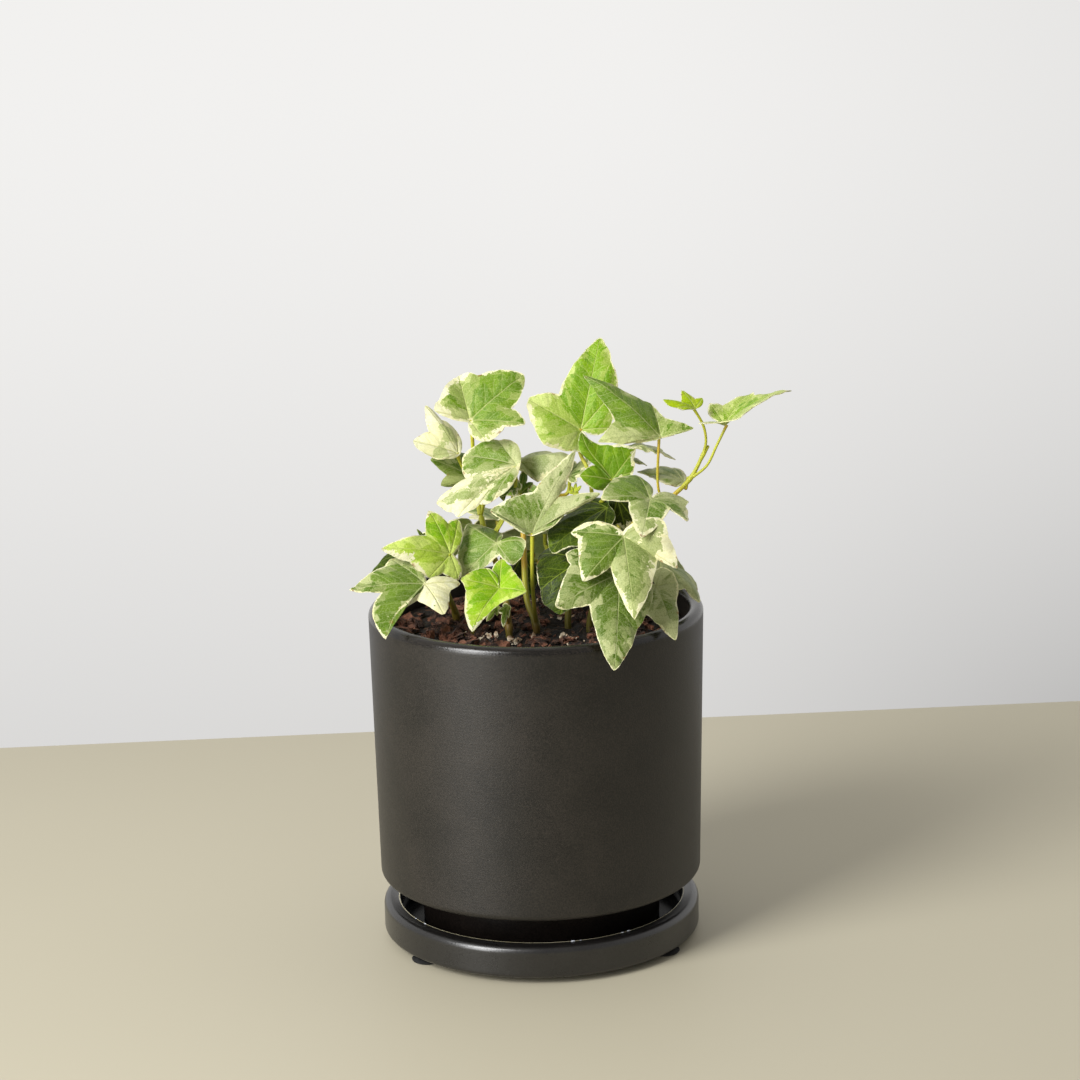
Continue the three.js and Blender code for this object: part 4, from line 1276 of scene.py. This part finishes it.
def stalk_points(stem, leaf):
    veins = lobe_tips(leaf)
    junction = Vector(leaf["at"])
    middle = veins[2].normalized()
    face = upper_face(veins)
    start = Vector(stem["vine"][leaf["node"]])
    if "via" in leaf:
        stops = [Vector(stop) for stop in leaf["via"]]
    else:
        reach = (junction - start).length
        below = (Vector((0, 0, -0.8)) - middle * 0.5 - face * 0.5).normalized() * 0.3 * reach
        stops = [start.lerp(junction, 0.35) + Vector((0, 0, 0.1 * reach)), junction + below]
    return [start, *stops, junction + middle * VINE_RADIUS / 2 - face * 0.2]


def canes(stem):
    """The vine with a swelling at each leaf joint, and the leaf stalks that grow from the joints."""
    curve = bpy.data.curves.new(f"canes_{stem['name']}", "CURVE")
    curve.dimensions = "3D"
    curve.bevel_depth = MM
    curve.bevel_resolution = 4
    curve.use_fill_caps = True
    x, y = stem["root"]
    path = smooth_path([(x, y, SOIL_CROWN_Z - 8), (x, y, SOIL_EDGE_Z - 2), *stem["vine"]], 8)
    joints = [Vector(stem["vine"][leaf["node"]]) for leaf in stem["leaves"]]
    radii = []
    for number, spot in enumerate(path):
        near_joint = min((spot - joint).length for joint in joints)
        swell = 1 + JOINT_SWELL * math.exp(-((near_joint / JOINT_REACH) ** 2))
        radii.append(VINE_RADIUS * (1 - stem.get("taper", VINE_TAPER) * number / len(path)) * swell)
    radii[-1] = VINE_TIP_RADIUS
    add_cane(curve, path, radii)
    for leaf in stem["leaves"]:
        path = smooth_path(stalk_points(stem, leaf), 8)
        size = STALK_RADIUS * stem.get("slim", 1)
        if lobe_tips(leaf)[2].length <= SMALL_LEAF:
            size = SMALL_STALK * STALK_RADIUS
        last = len(path) - 1
        radii = []
        for number in range(len(path)):
            at_base = STALK_BASE_SWELL * math.exp(-number / 2)
            at_tip = STALK_TIP_SWELL * math.exp((number - last) / 1.5)
            radii.append(size * (1 + at_base + at_tip - STALK_WAIST))
        add_cane(curve, path, radii)
    rods = bpy.data.objects.new(curve.name, curve)
    bpy.context.scene.collection.objects.link(rods)
    select_only(rods)
    bpy.ops.object.convert(target="MESH")
    rods = bpy.context.object
    rods.data.materials.clear()
    rods.data.materials.append(stalk_skin)
    bpy.ops.object.shade_smooth_by_angle(angle=math.radians(60))
    return rods


def leaf_finish(name, under):
    """A variegated blade: green with patches of sage, a ragged cream margin and pale veins."""
    material, tree, place = new_finish(name)

    def read(attribute):
        return Wire.node(tree, "Attribute", {"attribute_name": attribute}, {}, output="Fac")

    def pattern(kind, settings, vector, scale, output, **more):
        return Wire.node(tree, kind, settings, {"Vector": vector, "Scale": scale, **more}, output=output)

    by_vein = Wire.node(tree, "UVMap", {"uv_map": "veins"}, {})
    along = Wire.node(tree, "SeparateXYZ", {}, {"Vector": by_vein}, output="X")
    left = Wire.node(tree, "SeparateXYZ", {}, {"Vector": by_vein}, output="Y")
    across = abs(left)
    margin, cream, patch = read("margin"), read("cream"), read("patch")
    lime, deep, sage = read("lime"), read("deep"), read("sage")

    # Side veins leave the lobe's vein at about 45 degrees, on alternate sides
    wobble = pattern("TexNoise", {}, place, 140, "Fac", Detail=2) - 0.5
    side = left.rise(-0.01, 0.01)
    branch = (along - across * 0.9 + wobble * 3.4) / 4.2 + side * 0.45 + patch
    from_branch = abs(branch.maths("FRACT", branch) - 0.5) * 3
    on_branch = (1 - from_branch.rise(0.03, 0.13)) * (1 - across.rise(4, 10))
    puffed = from_branch.rise(0, 0.9)

    # Sage and pale patches lie mostly towards the margin: a slow drift and small cells shape them
    teeth = pattern("TexNoise", {}, place, 1000, "Fac", Detail=3) - 0.5
    more_teeth = pattern("TexNoise", {}, place, 620, "Fac", Detail=3) - 0.5
    drift = pattern("TexNoise", {}, place, 105, "Fac", Detail=1).rise(0.3, 0.7)
    cell_place = Wire.node(
        tree,
        "CombineXYZ",
        {},
        {
            "X": (along - across * 0.8) * 0.27 + wobble * 1.5 + teeth * 0.7,
            "Y": left * 0.17 + more_teeth * 0.6,
            "Z": patch * 3.7,
        },
    )
    cells = pattern("TexVoronoi", {}, cell_place, 1, "Color")
    draw = Wire.node(tree, "SeparateColor", {}, {"Color": cells}, output="Red")
    second_draw = Wire.node(tree, "SeparateColor", {}, {"Color": cells}, output="Green")
    third_draw = Wire.node(tree, "SeparateColor", {}, {"Color": cells}, output="Blue")
    inland = margin.rise(0, 8) * 0.35 + side * 0.12
    in_sage = (sage + 0.05 - inland - drift * 0.3 - draw * 0.45).rise(-0.02, 0.02)
    in_pale = (sage * 0.6 - inland - drift * 0.25 - second_draw * 0.4 + 0.06).rise(-0.02, 0.02)

    green = lime.blend(colour(102, 131, 38), colour(144, 190, 6))
    # The deep value darkens the greens: partly a deeper green of the leaf, partly painted shade for leaves
    # in the shade of others.
    green = deep.blend(green, colour(48, 66, 0))
    dark_green = lime.blend(colour(78, 110, 14), colour(104, 160, 0))
    dark_green = deep.blend(dark_green, colour(30, 44, 0))
    sage_green = lime.blend(colour(154, 165, 104), colour(170, 198, 60))
    sage_green = deep.blend(sage_green, colour(70, 92, 6))
    pale = lime.blend(colour(208, 210, 158), colour(208, 224, 116))
    pale = deep.blend(pale, colour(110, 130, 18))
    body = (third_draw.rise(0.44, 0.5) * 0.7).blend(green, dark_green)
    body = (in_sage * (0.8 + second_draw * 0.2)).blend(body, sage_green)
    body = (in_pale * 0.85).blend(body, pale)
    mottle = pattern("TexNoise", {}, place, 330, "Fac", Detail=5, Roughness=0.7)
    pepper = pattern("TexNoise", {}, place, 2300, "Fac", Detail=1)
    body = (mottle.rise(0.45, 0.75) * (0.1 + sage * 0.3)).blend(body, sage_green)
    body = (pepper.rise(0.53, 0.66) * (0.14 + sage * 0.3)).blend(body, pale)
    body = (pepper.rise(0.47, 0.34) * 0.4).blend(body, dark_green)
    body = ((lime - 1) * (1 - margin.rise(-2, 3) * 0.3)).blend(body, colour(206, 212, 20))

    # The cream margin comes and goes, with small teeth along its inner edge
    edge_drift = pattern("TexNoise", {}, place, 150, "Fac", Detail=1).rise(0.34, 0.66)
    reach = cream * (0.12 + edge_drift * 1.1) * (1 + teeth * 2.2) + teeth * 0.4
    in_cream = (1 - (margin - reach).rise(-0.1, 0.1)) * cream.rise(0.05, 0.3)
    cream_shade = second_draw.blend(colour(236, 230, 178), colour(240, 237, 202))
    cream_shade = (pepper.rise(0.5, 0.64) * 0.22).blend(cream_shade, colour(196, 204, 130))
    body = in_cream.blend(body, cream_shade)
    rust = pattern("TexNoise", {}, place, 480, "Fac", Detail=1).rise(0.66, 0.72)
    rust = rust * (1 - margin.rise(0.3, 1.1))
    body = (rust * 0.7).blend(body, colour(140, 84, 40))

    # Veins: thin, pale and tapered, fainter towards the margin and on the cream
    vein_width = (0.24 - along * 0.006).greater(0.07)
    on_vein = 1 - (across - vein_width).rise(-0.07, 0.12)
    net = pattern("TexVoronoi", {"feature": "DISTANCE_TO_EDGE"}, place, 620, "Distance")
    on_net = (1 - net.rise(0.02, 0.1)) * (0.2 - lime * 0.08)
    vein_shade = deep.blend(lime.blend(colour(190, 196, 138), colour(196, 212, 104)), colour(128, 146, 44))
    vein_shade = in_cream.blend(vein_shade, colour(214, 214, 146))
    body = on_net.greater(on_branch * 0.5).blend(body, vein_shade)
    body = (on_vein * 0.7).blend(body, vein_shade)
    if under:
        body = (0.5 - deep * 0.6).blend(body, colour(160, 172, 116))

    relief = puffed * 0.3 - on_vein * 0.5 - on_net * 0.6 + mottle * 0.6 + pepper * 0.15
    height = relief * (-1 if under else 1)
    bump = Wire.node(tree, "Bump", {}, {"Height": height, "Distance": 0.4 * MM, "Strength": 0.7})
    roughness = (0.6 if under else 0.43) + (mottle - 0.5) * 0.2 + in_cream * 0.05
    surface = Wire.node(
        tree,
        "BsdfPrincipled",
        {},
        {"Base Color": body, "Roughness": roughness, "Normal": bump, "Specular IOR Level": 0.18},
    )
    glow = Wire.node(tree, "BsdfTranslucent", {}, {"Color": colour(200, 216, 70)})
    leaf = Wire.node(tree, "MixShader", {}, {"Fac": 0.18 - deep * 0.16, 1: surface, 2: glow})
    Wire.node(tree, "OutputMaterial", {}, {"Surface": leaf})
    return material


def stalk_finish():
    """Stalk skin: olive yellow with amber stretches, painted darker brown near the soil as shade, and fine
    streaks along it.
    """
    material, tree, place = new_finish("stalk_skin")
    height = Wire.node(tree, "SeparateXYZ", {}, {"Vector": place}, output="Z")
    blush = Wire.node(tree, "TexNoise", {}, {"Vector": place, "Scale": 55, "Detail": 3})
    drawn_out = Wire.node(tree, "VectorMath", {"operation": "MULTIPLY"}, {0: place, 1: (1, 1, 0.15)})
    streak = Wire.node(tree, "TexNoise", {}, {"Vector": drawn_out, "Scale": 1100, "Detail": 2})
    skin = blush.rise(0.46, 0.66).blend(colour(180, 182, 50), colour(198, 160, 50))
    # Near the soil the skin is painted dark brown as painted shade low among the leaves.
    low_painted_shade = 1 - height.rise(SOIL_EDGE_Z * MM, (SOIL_EDGE_Z + 30) * MM)
    skin = (low_painted_shade * 0.9).blend(skin, colour(58, 42, 8))
    skin = (streak.rise(0.55, 0.75) * 0.25).blend(skin, colour(110, 84, 30))
    end_finish(tree, skin, 0.42 + streak * 0.2, streak, depth=0.05)
    return material


leaf_upper = leaf_finish("leaf_upper", under=False)
leaf_under = leaf_finish("leaf_under", under=True)
stalk_skin = stalk_finish()

for number, stem in enumerate(STEMS):
    blades = Blades()
    for place_in_stem, leaf in enumerate(stem["leaves"]):
        blades.add(leaf, patch=1.37 * number + 0.61 * place_in_stem)
    plant = blades.finish(f"ivy_{stem['name']}")
    rods = canes(stem)
    select_only(plant, rods)
    bpy.ops.object.join()
    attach(plant, "root")
    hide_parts(f"leafy_stem_{stem['name']}")
